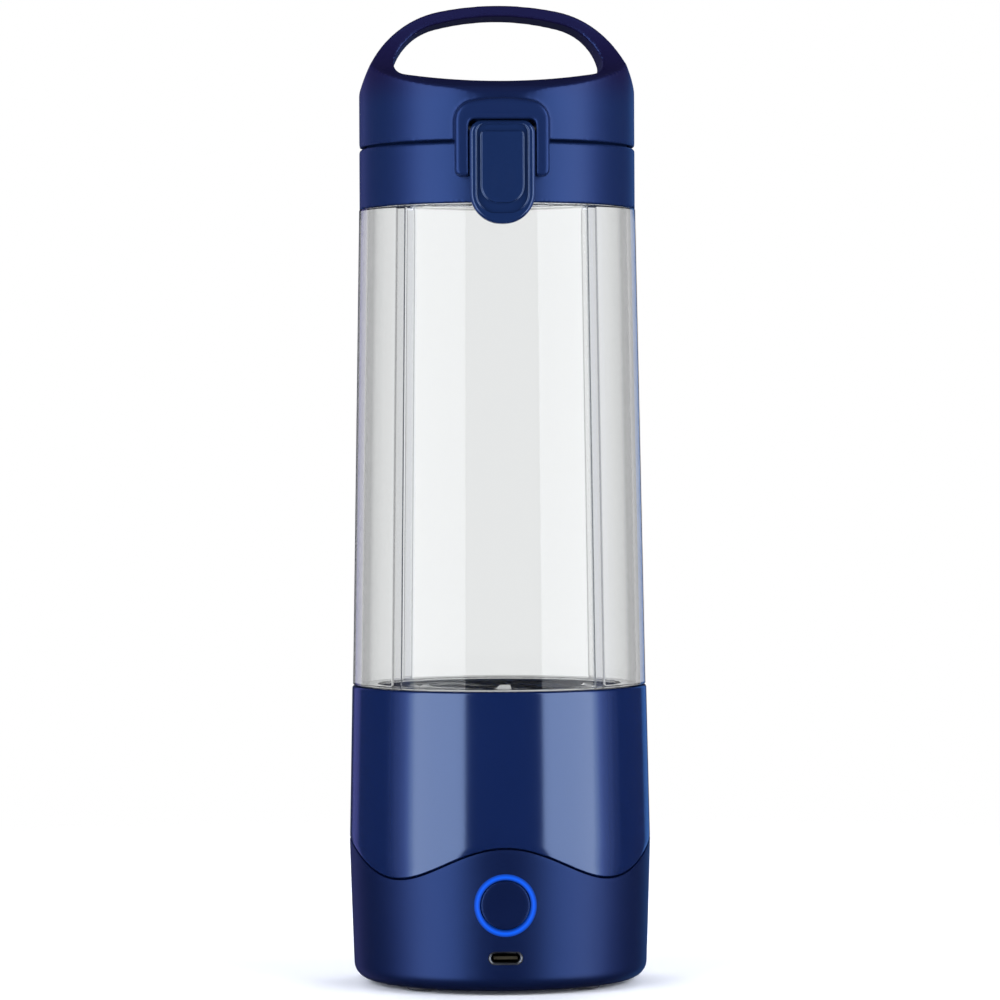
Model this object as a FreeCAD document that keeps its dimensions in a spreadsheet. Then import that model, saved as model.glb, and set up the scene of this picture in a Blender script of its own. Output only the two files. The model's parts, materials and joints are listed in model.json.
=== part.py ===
import FreeCAD, Part
import Sketcher
import math
import os
import re
from FreeCAD import Placement, Rotation, Vector

# Cordless personal blender. Millimetres, +Z up, the front faces -Y and the axis of the cup is Z.
# The origin is on the table, at the centre of the base.

# Every size: (alias, value, what it is). A size that follows another one is given as an expression.
SIZES = [
    # motor base, outside
    ("base_height", 87.3, "top rim of the motor base above the table"),
    ("base_belly_radius", 44.45, "largest base radius"),
    ("base_foot_radius", "base_belly_radius - 1.15", "base radius just above the rounded lower edge"),
    ("base_belly_height", 41.5, "height of the largest radius"),
    ("base_top_radius", "base_belly_radius - 0.9", "base radius at the top rim"),
    ("base_edge_round", 4.8, "rounding of the lower edge"),
    ("base_rim_round", 0.8, "rounding of the top rim"),
    ("foot_height", 1.0, "how far the feet hold the base off the table"),
    ("foot_radius", 4.5, "rubber foot"),
    ("foot_sink", 1.0, "depth of a foot's seat in the bottom cover"),
    # base shell and grip sleeve
    ("base_wall", 3.15, "wall of the base shell at the rim"),
    ("chamber_radius", "base_top_radius - base_wall", "inside of the base shell"),
    ("deck_thickness", 3.0, "floor between the cup socket and the motor chamber"),
    ("socket_depth", 17.8, "depth of the cup socket below the rim"),
    ("sleeve_thickness", 1.4, "soft grip sleeve over the base shell"),
    ("sleeve_hook", 3.6, "height of the sleeve's lip under the shell"),
    ("wave_height", 37.3, "mean height of the sleeve's wavy edge"),
    ("wave_rise", 4.8, "rise of the wave above and below its mean"),
    ("wave_groove", 0.5, "groove between sleeve and shell"),
    # bottom cover and its screws
    ("cover_play", 0.2, "between the bottom cover and the sleeve's lip"),
    ("cover_radius", "base_foot_radius - base_edge_round - cover_play", "bottom cover"),
    ("cover_thickness", 2.4, "bottom cover"),
    ("screw_circle", "chamber_radius - 7.2", "radius of the circle of the feet and cover screws"),
    ("post_radius", 3.4, "screw post under the deck"),
    ("boss_radius", 4.8, "boss of the bottom cover round a screw"),
    ("boss_height", 3.4, "boss above the cover plate"),
    ("screw_radius", 1.5, "cover screw shank"),
    ("screw_head_radius", 2.8, "cover screw head"),
    ("screw_head_height", 1.8, "cover screw head"),
    ("screw_length", 14.0, "cover screw shank"),
    # power button, light ring and charging socket
    ("button_height", 26.1, "centre of the power button"),
    ("button_radius", 7.1, "power button cap"),
    ("button_recess", 0.3, "button face behind the base surface"),
    ("button_flange", 1.3, "how much wider the button is behind the light ring"),
    ("button_flange_depth", 0.8, "thickness of the button flange"),
    ("button_back", "base_foot_radius - 5.1", "distance of the button's back from the axis"),
    ("button_travel", 0.8, "press of the button"),
    ("ring_inner_radius", 7.35, "light ring"),
    ("ring_outer_radius", 9.0, "light ring"),
    ("usb_height", 10.9, "centre of the charging socket"),
    ("usb_width", 10.0, "charging socket, outside"),
    ("usb_rise", 3.8, "charging socket, outside"),
    ("usb_bore_width", 8.6, "charging socket, opening"),
    ("usb_bore_rise", 2.8, "charging socket, opening"),
    ("usb_front", "base_foot_radius - 0.3", "distance of the socket's mouth from the axis"),
    ("tongue_width", 6.8, "contact tongue in the socket"),
    ("tongue_rise", 0.8, "contact tongue in the socket"),
    # board, switch and cells
    ("board_back", "button_back - 7.2", "distance of the control board's back from the axis"),
    ("board_thickness", 1.6, "control board"),
    ("board_width", 30.0, "control board"),
    ("board_height", 43.0, "control board"),
    ("switch_width", 6.2, "switch body"),
    ("switch_depth", 3.5, "switch body"),
    ("plunger_radius", 1.6, "switch plunger"),
    ("cell_radius", 9.1, "battery cell"),
    ("cell_length", 50.0, "battery cell"),
    ("cell_offset", 24.6, "distance of a cell's axis from the base axis"),
    ("cradle_plate", 2.4, "plate of the battery cradle"),
    ("cradle_wall", 1.3, "wall of the cradle round a cell"),
    ("cradle_height", 12.0, "height of the cradle's rings"),
    ("pad_radius", 8.0, "foam pad over a cell"),
    # motor
    ("motor_radius", 14.0, "motor can"),
    ("motor_length", 36.0, "motor can"),
    ("motor_wall", 0.8, "motor can"),
    ("motor_nose_radius", 5.0, "centring nose of the can"),
    ("end_bell_length", 3.6, "brush cap under the can"),
    ("end_bell_nose", 2.2, "rear bearing nose of the brush cap"),
    ("armature_radius", 11.0, "armature"),
    ("armature_length", 25.0, "armature"),
    ("magnet_gap", 0.4, "between armature and magnets"),
    ("motor_shaft_radius", 1.6, "motor shaft"),
    ("mount_screw_circle", 8.5, "radius of the circle of the motor screws"),
    ("mount_screw_radius", 1.2, "motor screw shank"),
    ("mount_screw_head", 2.2, "motor screw head radius"),
    ("mount_head_height", 1.4, "motor screw head height"),
    # blade unit
    ("seat_thickness", 2.0, "rim of the blade seat"),
    ("hub_radius", 8.6, "hub of the blade seat"),
    ("hub_height", 7.4, "hub above the deck"),
    ("spindle_radius", 2.4, "blade spindle"),
    ("bush_radius", 4.6, "bearing bush"),
    ("seal_height", 1.2, "shaft seal over the bush"),
    ("blade_thickness", 1.2, "blade plate"),
    ("blade_width", 11.0, "blade plate"),
    ("long_blade_reach", 24.0, "tip radius of the lower blade"),
    ("long_blade_lift", 2.2, "rise of the lower blade's tips"),
    ("short_blade_reach", 19.0, "tip radius of the upper blade"),
    ("short_blade_lift", 5.6, "rise of the upper blade's tips"),
    ("blade_flat", 7.0, "half length of a blade's flat middle"),
    ("blade_tip_width", 4.0, "blade width at the tip"),
    ("nut_radius", 4.2, "cap nut"),
    ("nut_height", 4.0, "cap nut"),
    # cup
    ("cup_lower_radius", "base_top_radius - 0.25", "cup radius at the base"),
    ("cup_upper_radius", "cup_lower_radius - 2.4", "cup radius at the collar"),
    ("cup_body_height", 140.1, "cup between the base and the collar"),
    ("cup_wall", 2.6, "cup wall"),
    ("foot_neck_radius", "chamber_radius - 1.8", "neck that enters the base"),
    ("foot_neck_wall", 2.6, "neck that enters the base"),
    ("mouth_neck_radius", "collar_bore - 1.6", "neck under the collar"),
    ("mouth_neck_wall", 2.3, "neck under the collar"),
    ("mouth_neck_height", 13.0, "neck under the collar"),
    ("shoulder_height", 2.6, "height over which the cup narrows inside to its necks"),
    ("shoulder_wall", 1.0, "inside shoulders of the cup from its outer steps"),
    ("rib_width", 3.4, "rib inside the cup"),
    ("rib_depth", 2.0, "rib inside the cup"),
    ("rib_end", 1.0, "rib end from the cup's shoulders"),
    ("seal_thickness", 1.6, "flat seals of the cup and the collar"),
    # collar
    ("collar_radius", "cup_upper_radius - 0.15", "collar and flip cap"),
    ("collar_height", 17.6, "collar"),
    ("collar_bore", "collar_radius - 2.25", "inside of the collar"),
    ("lid_deck", 2.2, "plate across the collar"),
    ("lid_deck_drop", 1.2, "plate below the collar's top edge"),
    ("step_radius", "collar_radius - 2.15", "step that centres the flip cap"),
    ("step_width", 2.0, "step that centres the flip cap"),
    ("step_height", 1.6, "step above the collar's top edge"),
    ("edge_break", 0.5, "chamfer on both sides of the cap seam"),
    ("spout_offset", 14.0, "spout axis in front of the cup axis"),
    ("spout_radius", 13.0, "drinking spout"),
    ("spout_wall", 2.0, "drinking spout"),
    ("spout_height", 10.0, "spout above the plate"),
    # flip cap and its handle
    ("cap_seam", 0.6, "open seam between collar and cap"),
    ("cap_wall_height", 14.5, "cap wall at the front, up to the slope"),
    ("cap_edge_round", 5.0, "rounding of the cap's upper front and rear edge"),
    ("cap_skirt_wall", 1.85, "cap wall"),
    ("cap_slope_rise", 6.8, "rise of the cap's top from the wall to the handle root"),
    ("cap_slope_end", 20.4, "depth at which the slope turns up into the handle"),
    ("cap_cheek_start", 16.0, "cap wall at the sides, up to the handle arch"),
    ("cap_hollow_height", 14.8, "hollow under the cap"),
    ("cap_hollow_side", 9.0, "straight side of that hollow"),
    ("saddle_height", 17.5, "lowest point of the finger gap above the cap's lower edge"),
    ("saddle_end_rise", 2.6, "rise of the gap's floor towards its ends"),
    ("saddle_half_width", "collar_radius - 13.05", "half width of the gap's floor"),
    ("gap_half_width", "collar_radius - 10.05", "half width of the finger gap"),
    ("gap_side_height", 24.2, "height of the gap's widest place"),
    ("gap_corner_radius", 4.0, "lower corners of the gap"),
    ("gap_shoulder_half", "collar_radius - 23.05", "half width of the gap's crown"),
    ("gap_shoulder_height", 35.9, "height of the end of the gap's crown"),
    ("gap_shoulder_radius", 17.5, "curve of the gap's shoulders"),
    ("gap_height", 38.1, "top of the finger gap"),
    ("handle_height", 41.3, "top of the handle above the cap's lower edge"),
    ("handle_half_depth", 10.0, "half depth of the handle bar"),
    ("handle_sweep_radius", 15.2, "sweep from the cap's top into the handle"),
    ("crown_half_width", "collar_radius - 22.75", "half width of the handle's crown"),
    ("crown_drop", 1.9, "fall of the crown at its ends"),
    ("cheek_half_width", "collar_radius - 4.15", "half width of the handle at its cheeks"),
    ("cheek_height", 25.4, "height of the cheeks"),
    ("shoulder_radius", 28.4, "curve of the handle's shoulders"),
    ("cheek_radius", 49.4, "curve of the handle's cheeks"),
    ("plug_boss_radius", 8.6, "boss that holds the plug"),
    ("plug_boss_height", 11.2, "lower end of that boss above the cap's lower edge"),
    ("plug_flange_radius", 13.4, "flange of the spout plug"),
    ("plug_depth", 3.2, "how far the plug enters the spout"),
    ("plug_taper", 0.6, "taper of the plug"),
    # cap hinge
    ("hinge_offset", "collar_radius + 3.25", "hinge axis behind the cup axis"),
    ("knuckle_radius", 2.9, "hinge knuckles"),
    ("knuckle_half", 8.6, "half width of the cap's knuckle"),
    ("knuckle_side", 5.2, "width of each collar knuckle"),
    ("hinge_pin_radius", 1.25, "hinge pin"),
    # latch
    ("apron_width", 27.2, "flat front panel of the cap"),
    ("apron_face", "collar_radius + 4.85", "distance of that panel from the axis"),
    ("apron_drop", 10.9, "how far the panel hangs over the collar"),
    ("apron_rise", 11.7, "panel above the cap's lower edge"),
    ("apron_crown_radius", 45.0, "arched top of the panel"),
    ("apron_top_round", 5.5, "upper corners of the panel"),
    ("apron_low_round", 1.8, "lower corners of the panel"),
    ("apron_edge_round", 1.2, "rounding of the panel's front edge"),
    ("recess_depth", 3.3, "recess of the lever in the panel"),
    ("recess_round", 1.5, "upper corners of the recess, wide enough for the turning lever"),
    ("lever_width", 18.8, "latch lever"),
    ("lever_top", 5.2, "top of the lever above the cap's lower edge"),
    ("lever_round", 4.0, "upper corners of the lever"),
    ("lever_tip_round", 9.0, "lower corners of the lever"),
    ("lever_drop", 24.6, "tip of the lever below the cap's lower edge"),
    ("lever_face", "apron_face + 0.9", "distance of the lever's face from the axis"),
    ("lever_back", "lever_face - 3.9", "distance of the lever's back from the axis"),
    ("lever_bevel", 0.7, "bevel round the lever's face"),
    ("lever_pad_width", 12.0, "raised pad on the lever"),
    ("lever_rim", 1.8, "rim round the pad's channel, with the bevel"),
    ("lever_lip", 3.1, "lip under the channel at the lever's tip"),
    ("lip_round", 5.6, "lower corners of the channel"),
    ("channel_depth", 0.9, "channel round the pad"),
    ("channel_top", 1.2, "channel below the lever's top"),
    ("channel_round", 2.4, "upper corners of the channel"),
    ("pad_end", 6.1, "pad from the tip of the lever"),
    ("pad_round", 4.8, "lower corners of the pad"),
    ("pad_top", 3.3, "pad below the lever's top"),
    ("pad_top_round", 1.0, "upper corners of the pad"),
    ("latch_pin_radius", 0.9, "latch pin"),
    ("latch_pin_seat", 2.0, "how far the pin enters the panel on each side"),
    ("latch_axis_height", 2.7, "latch pin above the cap's lower edge"),
    ("latch_axis_offset", "lever_face - 2.4", "latch pin in front of the cup axis"),
    ("catch_width", 10.0, "catch under the panel"),
    ("catch_reach", 1.5, "how far the collar's ledge stands out"),
    ("catch_height", 1.9, "height of ledge and hook"),
    # clearances
    ("joint_gap", 0.3, "between pieces that come apart"),
    ("seat_play", 0.2, "between a flat seal and the faces it works on"),
    ("running_fit", 0.05, "radial clearance of shafts and pins"),
    ("fixed_fit", 0.05, "clearance of fixed inserts"),
    ("latch_gap", 0.3, "round the latch lever"),
]

doc = FreeCAD.newDocument("Blender")
sheet = doc.addObject("Spreadsheet::Sheet", "Sizes")
for row, (alias, size, meaning) in enumerate(SIZES, start=1):
    sheet.set(f"A{row}", alias)
    sheet.set(f"B{row}", f"={size}")
    sheet.set(f"C{row}", meaning)
    sheet.setAlias(f"B{row}", alias)
doc.recompute()

ALIAS = re.compile(r"\b(" + "|".join(alias for alias, _, _ in SIZES) + r")\b")

# Levels that follow from the sizes, written as expressions of the sheet.
BASE_BOTTOM = "foot_height"
EDGE_TOP = "(foot_height + base_edge_round)"
HOOK_TOP = "(foot_height + sleeve_hook)"
COVER_TOP = "(foot_height + cover_thickness)"
BOSS_TOP = "(foot_height + cover_thickness + boss_height)"
DECK_TOP = "(base_height - socket_depth)"
DECK_BOTTOM = "(base_height - socket_depth - deck_thickness)"
MOTOR_BOTTOM = f"({DECK_BOTTOM} - motor_length)"
SEAT_TOP = f"({DECK_TOP} + seat_thickness)"
HUB_TOP = f"({DECK_TOP} + hub_height)"
LONG_BLADE = f"({HUB_TOP} + seal_height + joint_gap)"
SHORT_BLADE = f"({LONG_BLADE} + blade_thickness)"
NUT_BOTTOM = f"({SHORT_BLADE} + blade_thickness)"
CUP_SEAL = f"({SEAT_TOP} + seat_play)"
NECK_BOTTOM = f"({CUP_SEAL} + seal_thickness + seat_play)"
CUP_BOTTOM = "(base_height + joint_gap)"
CUP_TOP = f"({CUP_BOTTOM} + cup_body_height)"
MOUTH_TOP = f"({CUP_TOP} + mouth_neck_height)"
COLLAR_BOTTOM = f"({CUP_TOP} + joint_gap)"
COLLAR_TOP = f"({COLLAR_BOTTOM} + collar_height)"
LID_DECK_TOP = f"({COLLAR_TOP} - lid_deck_drop)"
LID_DECK_BOTTOM = f"({LID_DECK_TOP} - lid_deck)"
SPOUT_TOP = f"({LID_DECK_TOP} + spout_height)"
CAP_BOTTOM = f"({COLLAR_TOP} + cap_seam)"
HINGE_HEIGHT = CAP_BOTTOM
LATCH_HEIGHT = f"({CAP_BOTTOM} + latch_axis_height)"
LATCH_PIN_LENGTH = "(lever_width + 2 * latch_gap + 2 * latch_pin_seat)"


def value(expression):
    """Number that an expression of the sheet's aliases gives."""
    return float(sheet.evalExpression(expression))


def bound(expression):
    """The same expression as other objects of the document read it."""
    return ALIAS.sub(r"Sizes.\1", expression)


def origin_part(body, role):
    """Origin plane or axis of a body."""
    return next(item for item in body.Origin.OriginFeatures if item.Role == role)


def new_body(label):
    body = doc.addObject("PartDesign::Body", label)
    body.Label = label
    return body


def new_sketch(body, plane, offset="0"):
    """Sketch on an origin plane, moved along the plane's normal: XY up, XZ to the front, YZ to +X."""
    sketch = body.newObject("Sketcher::SketchObject", body.Label + "_sketch")
    sketch.AttachmentSupport = (origin_part(body, plane + "_Plane"), [""])
    sketch.MapMode = "FlatFace"
    if offset != "0":
        sketch.setExpression("AttachmentOffset.Base.z", bound(offset))
    return sketch


def hold(sketch, kind, places, expression):
    """Dimension of a sketch, tied to the sheet."""
    index = sketch.addConstraint(Sketcher.Constraint(kind, *places, value(expression)))
    if ALIAS.search(expression):
        sketch.setExpression(f"Constraints[{index}]", bound(expression))


def pin_point(sketch, geometry, point, x, y):
    hold(sketch, "DistanceX", (-1, 1, geometry, point), x)
    hold(sketch, "DistanceY", (-1, 1, geometry, point), y)


def side(start, end, radius):
    """Edge between two corners, and which of its ends is the first corner."""
    if radius == 0:
        return Part.LineSegment(start, end), 1
    chord = end - start
    across = Vector(-chord.y, chord.x, 0).normalize()
    reach = math.sqrt(max(radius**2 - (chord.Length / 2) ** 2, 0))
    centre = (start + end) / 2 + across * math.copysign(reach, radius)
    first, last = (start, end) if radius > 0 else (end, start)
    angles = [math.atan2(point.y - centre.y, point.x - centre.x) for point in (first, last)]
    if angles[1] < angles[0]:
        angles[1] += 2 * math.pi
    circle = Part.Circle(centre, Vector(0, 0, 1), abs(radius))
    return Part.ArcOfCircle(circle, *angles), 1 if radius > 0 else 2


def hold_arc(sketch, geometry, corner, chord):
    """Radius of an arc, or the place of its centre where the arc is a half circle on an upright
    or level chord, because a radius can't hold that."""
    if abs(value(corner[2])) > chord.Length / 2 + 1e-6:
        hold(sketch, "Radius", (geometry,), corner[2].lstrip("-"))
    elif abs(chord.x) < abs(chord.y):
        hold(sketch, "DistanceX", (-1, 1, geometry, 3), corner[0])
    else:
        hold(sketch, "DistanceY", (-1, 1, geometry, 3), corner[1])


def draw(sketch, corners):
    """Closed outline through corners (x, y). A third entry bends the side that leaves a corner:
    the radius of its arc, with a minus sign where the side turns clockwise."""
    spots = [Vector(value(corner[0]), value(corner[1]), 0) for corner in corners]
    first = sketch.GeometryCount
    ends = []
    for number, corner in enumerate(corners):
        radius = value(corner[2]) if len(corner) > 2 else 0
        edge, end = side(spots[number], spots[(number + 1) % len(spots)], radius)
        sketch.addGeometry(edge, False)
        ends.append(end)
    for number, corner in enumerate(corners):
        here = first + number
        following = (number + 1) % len(corners)
        places = (here, 3 - ends[number], first + following, ends[following])
        sketch.addConstraint(Sketcher.Constraint("Coincident", *places))
        pin_point(sketch, here, ends[number], corner[0], corner[1])
        if len(corner) > 2:
            hold_arc(sketch, here, corner, spots[following] - spots[number])


def draw_circle(sketch, x, y, radius):
    number = sketch.GeometryCount
    centre = Vector(value(x), value(y), 0)
    sketch.addGeometry(Part.Circle(centre, Vector(0, 0, 1), value(radius)), False)
    pin_point(sketch, number, 3, x, y)
    hold(sketch, "Radius", (number,), radius)


def draw_slot(sketch, x, y, width, height):
    """Slot with round ends, longer along x."""
    half = f"({width} - {height}) / 2"
    low = f"{y} - {height} / 2"
    high = f"{y} + {height} / 2"
    radius = f"{height} / 2"
    draw(sketch, [(f"{x} - {half}", low), (f"{x} + {half}", low, radius),
                  (f"{x} + {half}", high), (f"{x} - {half}", high, radius)])


def rectangle(left, right, low, high):
    return [(left, low), (right, low), (right, high), (left, high)]


def volume(body):
    return body.Shape.Volume if body.Shape.Solids else 0.0


def set_length(feature, length, symmetric):
    if length:
        feature.Type = "Length"
        feature.setExpression("Length", bound(length))
    else:
        feature.Type = "ThroughAll"
    feature.SideType = "Symmetric" if symmetric else "One side"


def pad(body, sketch, length, symmetric=False, backwards=False):
    feature = body.newObject("PartDesign::Pad", body.Label + "_pad")
    feature.Profile = sketch
    set_length(feature, length, symmetric)
    feature.Reversed = backwards
    doc.recompute()
    return feature


def pocket(body, sketch, length=None, symmetric=False, forwards=False):
    """Cut against the sketch's normal, or along it where forwards is set."""
    before = volume(body)
    feature = body.newObject("PartDesign::Pocket", body.Label + "_pocket")
    feature.Profile = sketch
    set_length(feature, length, symmetric)
    feature.Reversed = forwards
    doc.recompute()
    if volume(body) >= before - 1e-6:
        raise RuntimeError(f"{feature.Label} cuts nothing")
    return feature


def revolve(body, corners, angle=360):
    sketch = new_sketch(body, "XZ")
    draw(sketch, corners)
    feature = body.newObject("PartDesign::Revolution", body.Label + "_turned")
    feature.Profile = sketch
    feature.ReferenceAxis = (sketch, ["V_Axis"])
    feature.Angle = angle
    doc.recompute()
    return feature


def groove(body, corners):
    before = volume(body)
    sketch = new_sketch(body, "XZ")
    draw(sketch, corners)
    feature = body.newObject("PartDesign::Groove", body.Label + "_groove")
    feature.Profile = sketch
    feature.ReferenceAxis = (sketch, ["V_Axis"])
    feature.Angle = 360
    doc.recompute()
    if volume(body) >= before - 1e-6:
        raise RuntimeError(f"{feature.Label} cuts nothing")
    return feature


def ring_of(body, features, count):
    """Repeat features about the vertical axis."""
    pattern = body.newObject("PartDesign::PolarPattern", body.Label + "_ring")
    pattern.Originals = features
    pattern.Axis = (origin_part(body, "Z_Axis"), [""])
    pattern.Angle = 360
    pattern.Occurrences = count
    body.Tip = pattern
    doc.recompute()
    return pattern


def dress(body, kind, size, chosen):
    """Fillet or chamfer the edges of the body's tip for which chosen(edge) is true."""
    tip = body.Tip
    names = [f"Edge{number}" for number, edge in enumerate(tip.Shape.Edges, start=1) if chosen(edge)]
    if not names:
        raise RuntimeError(f"{body.Label} has no such edge")
    feature = body.newObject("PartDesign::" + kind, f"{body.Label}_{kind}")
    feature.Base = (tip, names)
    feature.setExpression("Radius" if kind == "Fillet" else "Size", bound(size))
    doc.recompute()
    return feature


def near(number, target, reach=0.02):
    return abs(number - target) < reach


def faces_front(edge, reach):
    """True for an edge that lies in a front plane at that distance from the axis."""
    box = edge.BoundBox
    return near(box.YMin, -reach) and near(box.YMax, -reach)


def flat_at(edge, level):
    """True for an edge that lies at one height."""
    box = edge.BoundBox
    return near(box.ZMin, level) and near(box.ZMax, level)


def diagonal(radius):
    """Coordinate of a place on a circle at 45 degrees."""
    return f"({radius} * sqrt(0.5))"


def combine(label, kind, base, tool):
    """Boolean of two objects of the document, kept as a sub-part."""
    result = doc.addObject("Part::" + kind, label)
    result.Base = base
    result.Tool = tool
    doc.recompute()
    return result


# ---------------------------------------------------------------- motor base, outside

def base_side(inset):
    """Outer line of the base from the foot of its wall to the rim, moved inwards by inset."""
    return [(f"base_foot_radius - {inset}", EDGE_TOP),
            (f"base_belly_radius - {inset}", "base_belly_height"),
            (f"base_top_radius - {inset}", "base_height")]


def wave_block(name, lift):
    """Everything below the wavy edge. The wave has a crest at the front, the back and both sides,
    because cos(4a) is 1 - 8u^2 + 8u^4 where u is the sine of a."""
    radius = value("base_belly_radius")
    middle = value("wave_height") + lift
    spots = []
    for step in range(-12, 13):
        across = 1.1 * step / 12
        wave = 1 - 8 * across**2 + 8 * across**4
        spots.append(Vector(radius * across, 0, middle + value("wave_rise") * wave))
    crest = Part.BSplineCurve()
    crest.interpolate(spots)
    low_left = Vector(spots[0].x, 0, -radius)
    low_right = Vector(spots[-1].x, 0, -radius)
    edges = [crest.toShape(), Part.makeLine(spots[-1], low_right),
             Part.makeLine(low_right, low_left), Part.makeLine(low_left, spots[0])]
    face = Part.Face(Part.Wire(edges))
    block = doc.addObject("Part::Feature", name)
    block.Shape = face.extrude(Vector(0, 4 * radius, 0))
    block.Placement = Placement(Vector(0, -2 * radius, 0), Rotation())
    return block


def front_openings(body):
    """Holes for the light ring and the charging socket through the front wall."""
    sketch = new_sketch(body, "XZ", "board_back")
    draw_circle(sketch, "0", "button_height", "ring_outer_radius + fixed_fit")
    pocket(body, sketch, "base_belly_radius", forwards=True)
    sketch = new_sketch(body, "XZ", "board_back")
    draw_slot(sketch, "0", "usb_height", "(usb_width + 2 * fixed_fit)", "(usb_rise + 2 * fixed_fit)")
    pocket(body, sketch, "base_belly_radius", forwards=True)


def make_base_shell():
    body = new_body("base_shell_blank")
    revolve(body, [
        ("chamber_radius", HOOK_TOP),
        ("base_foot_radius - sleeve_thickness", HOOK_TOP),
        ("base_foot_radius - sleeve_thickness", EDGE_TOP),
        ("base_foot_radius", EDGE_TOP),
        ("base_belly_radius", "base_belly_height"),
        ("base_top_radius", "base_height - base_rim_round", "base_rim_round"),
        ("base_top_radius - base_rim_round", "base_height"),
        ("chamber_radius", "base_height"),
        ("chamber_radius", DECK_TOP),
        ("motor_nose_radius + fixed_fit", DECK_TOP),
        ("motor_nose_radius + fixed_fit", DECK_BOTTOM),
        ("chamber_radius", DECK_BOTTOM)])
    sketch = new_sketch(body, "XY", BOSS_TOP)
    draw_circle(sketch, diagonal("screw_circle"), diagonal("screw_circle"), "post_radius")
    post = pad(body, sketch, f"{DECK_BOTTOM} - {BOSS_TOP}")
    sketch = new_sketch(body, "XY", BOSS_TOP)
    draw_circle(sketch, diagonal("screw_circle"), diagonal("screw_circle"), "screw_radius + fixed_fit")
    hole = pocket(body, sketch, "screw_length", forwards=True)
    ring_of(body, [post, hole], 4)
    sketch = new_sketch(body, "XY", DECK_TOP)
    draw_circle(sketch, "mount_screw_circle", "0", "mount_screw_head + fixed_fit")
    seat = pocket(body, sketch, "mount_head_height")
    sketch = new_sketch(body, "XY", DECK_TOP)
    draw_circle(sketch, "mount_screw_circle", "0", "mount_screw_radius + fixed_fit")
    hole = pocket(body, sketch, "2 * deck_thickness")
    ring_of(body, [seat, hole], 2)
    front_openings(body)
    return body


def make_sleeve_ring():
    body = new_body("sleeve_ring")
    inset = "sleeve_thickness"
    revolve(body, [
        ("base_foot_radius - base_edge_round", BASE_BOTTOM, "base_edge_round"),
        ("base_foot_radius", EDGE_TOP),
        ("base_belly_radius", "base_belly_height"),
        ("base_top_radius", "base_height"),
        (f"base_top_radius - {inset}", "base_height"),
        (f"base_belly_radius - {inset}", "base_belly_height"),
        (f"base_foot_radius - {inset}", EDGE_TOP),
        (f"base_foot_radius - {inset}", HOOK_TOP),
        ("base_foot_radius - base_edge_round", HOOK_TOP)])
    return body


def make_base():
    """Upper shell and grip sleeve, parted along the wavy line."""
    blank = make_base_shell()
    ring = make_sleeve_ring()
    tall_wave = wave_block("shell_wave", value("wave_groove"))
    under_wave = combine("shell_recess", "Common", ring, tall_wave)
    shell = combine("base_shell", "Cut", blank, under_wave)
    pierced = make_sleeve_ring()
    pierced.Label = "pierced_ring"
    front_openings(pierced)
    sleeve = combine("grip_sleeve", "Common", pierced, wave_block("sleeve_wave", 0))
    return [shell, sleeve]


def at_screws(body, plane_level, radius):
    sketch = new_sketch(body, "XY", plane_level)
    draw_circle(sketch, diagonal("screw_circle"), diagonal("screw_circle"), radius)
    return sketch


def make_bottom_cover():
    body = new_body("bottom_cover")
    revolve(body, rectangle("0", "cover_radius", BASE_BOTTOM, COVER_TOP))
    boss = pad(body, at_screws(body, COVER_TOP, "boss_radius"), "boss_height")
    seat = pocket(body, at_screws(body, BASE_BOTTOM, "foot_radius + fixed_fit"), "foot_sink",
                  forwards=True)
    well = pocket(body, at_screws(body, BASE_BOTTOM, "screw_head_radius + fixed_fit"),
                  "foot_sink + screw_head_height + joint_gap", forwards=True)
    hole = pocket(body, at_screws(body, BASE_BOTTOM, "screw_radius + fixed_fit"),
                  "cover_thickness + 2 * boss_height", forwards=True)
    ring_of(body, [boss, seat, well, hole], 4)
    return body


def make_feet():
    body = new_body("feet")
    foot = pad(body, at_screws(body, "0", "foot_radius"), "foot_height + foot_sink")
    ring_of(body, [foot], 4)
    dress(body, "Chamfer", "foot_height / 2", lambda edge: flat_at(edge, 0))
    return body


def make_cover_screws():
    body = new_body("cover_screws")
    level = "(foot_height + foot_sink + joint_gap)"
    head = pad(body, at_screws(body, level, "screw_head_radius"), "screw_head_height")
    top = f"({level} + screw_head_height)"
    shank = pad(body, at_screws(body, top, "screw_radius"), "screw_length")
    ring_of(body, [head, shank], 4)
    return body


# ---------------------------------------------------------------- button, light ring, socket

def make_front_envelope(name, inset):
    """The base's outer form, filled, which trims what shows at the front to the curved wall."""
    body = new_body(name)
    line = base_side(inset)
    revolve(body, [("0", BASE_BOTTOM), (line[0][0], BASE_BOTTOM)] + line + [("0", "base_height")])
    return body


def make_light_ring():
    blank = new_body("light_ring_blank")
    sketch = new_sketch(blank, "XZ", "button_back + button_flange_depth + joint_gap")
    draw_circle(sketch, "0", "button_height", "ring_outer_radius")
    draw_circle(sketch, "0", "button_height", "ring_inner_radius")
    pad(blank, sketch, "base_belly_radius - button_back")
    return combine("light_ring", "Common", blank, make_front_envelope("ring_envelope", "0"))


def make_power_button():
    blank = new_body("power_button_blank")
    sketch = new_sketch(blank, "XZ", "button_back")
    draw_circle(sketch, "0", "button_height", "button_radius")
    pad(blank, sketch, "base_belly_radius - button_back")
    sketch = new_sketch(blank, "XZ", "button_back")
    draw_circle(sketch, "0", "button_height", "button_radius + button_flange")
    pad(blank, sketch, "button_flange_depth")
    envelope = make_front_envelope("button_envelope", "button_recess")
    return combine("power_button", "Common", blank, envelope)


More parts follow.
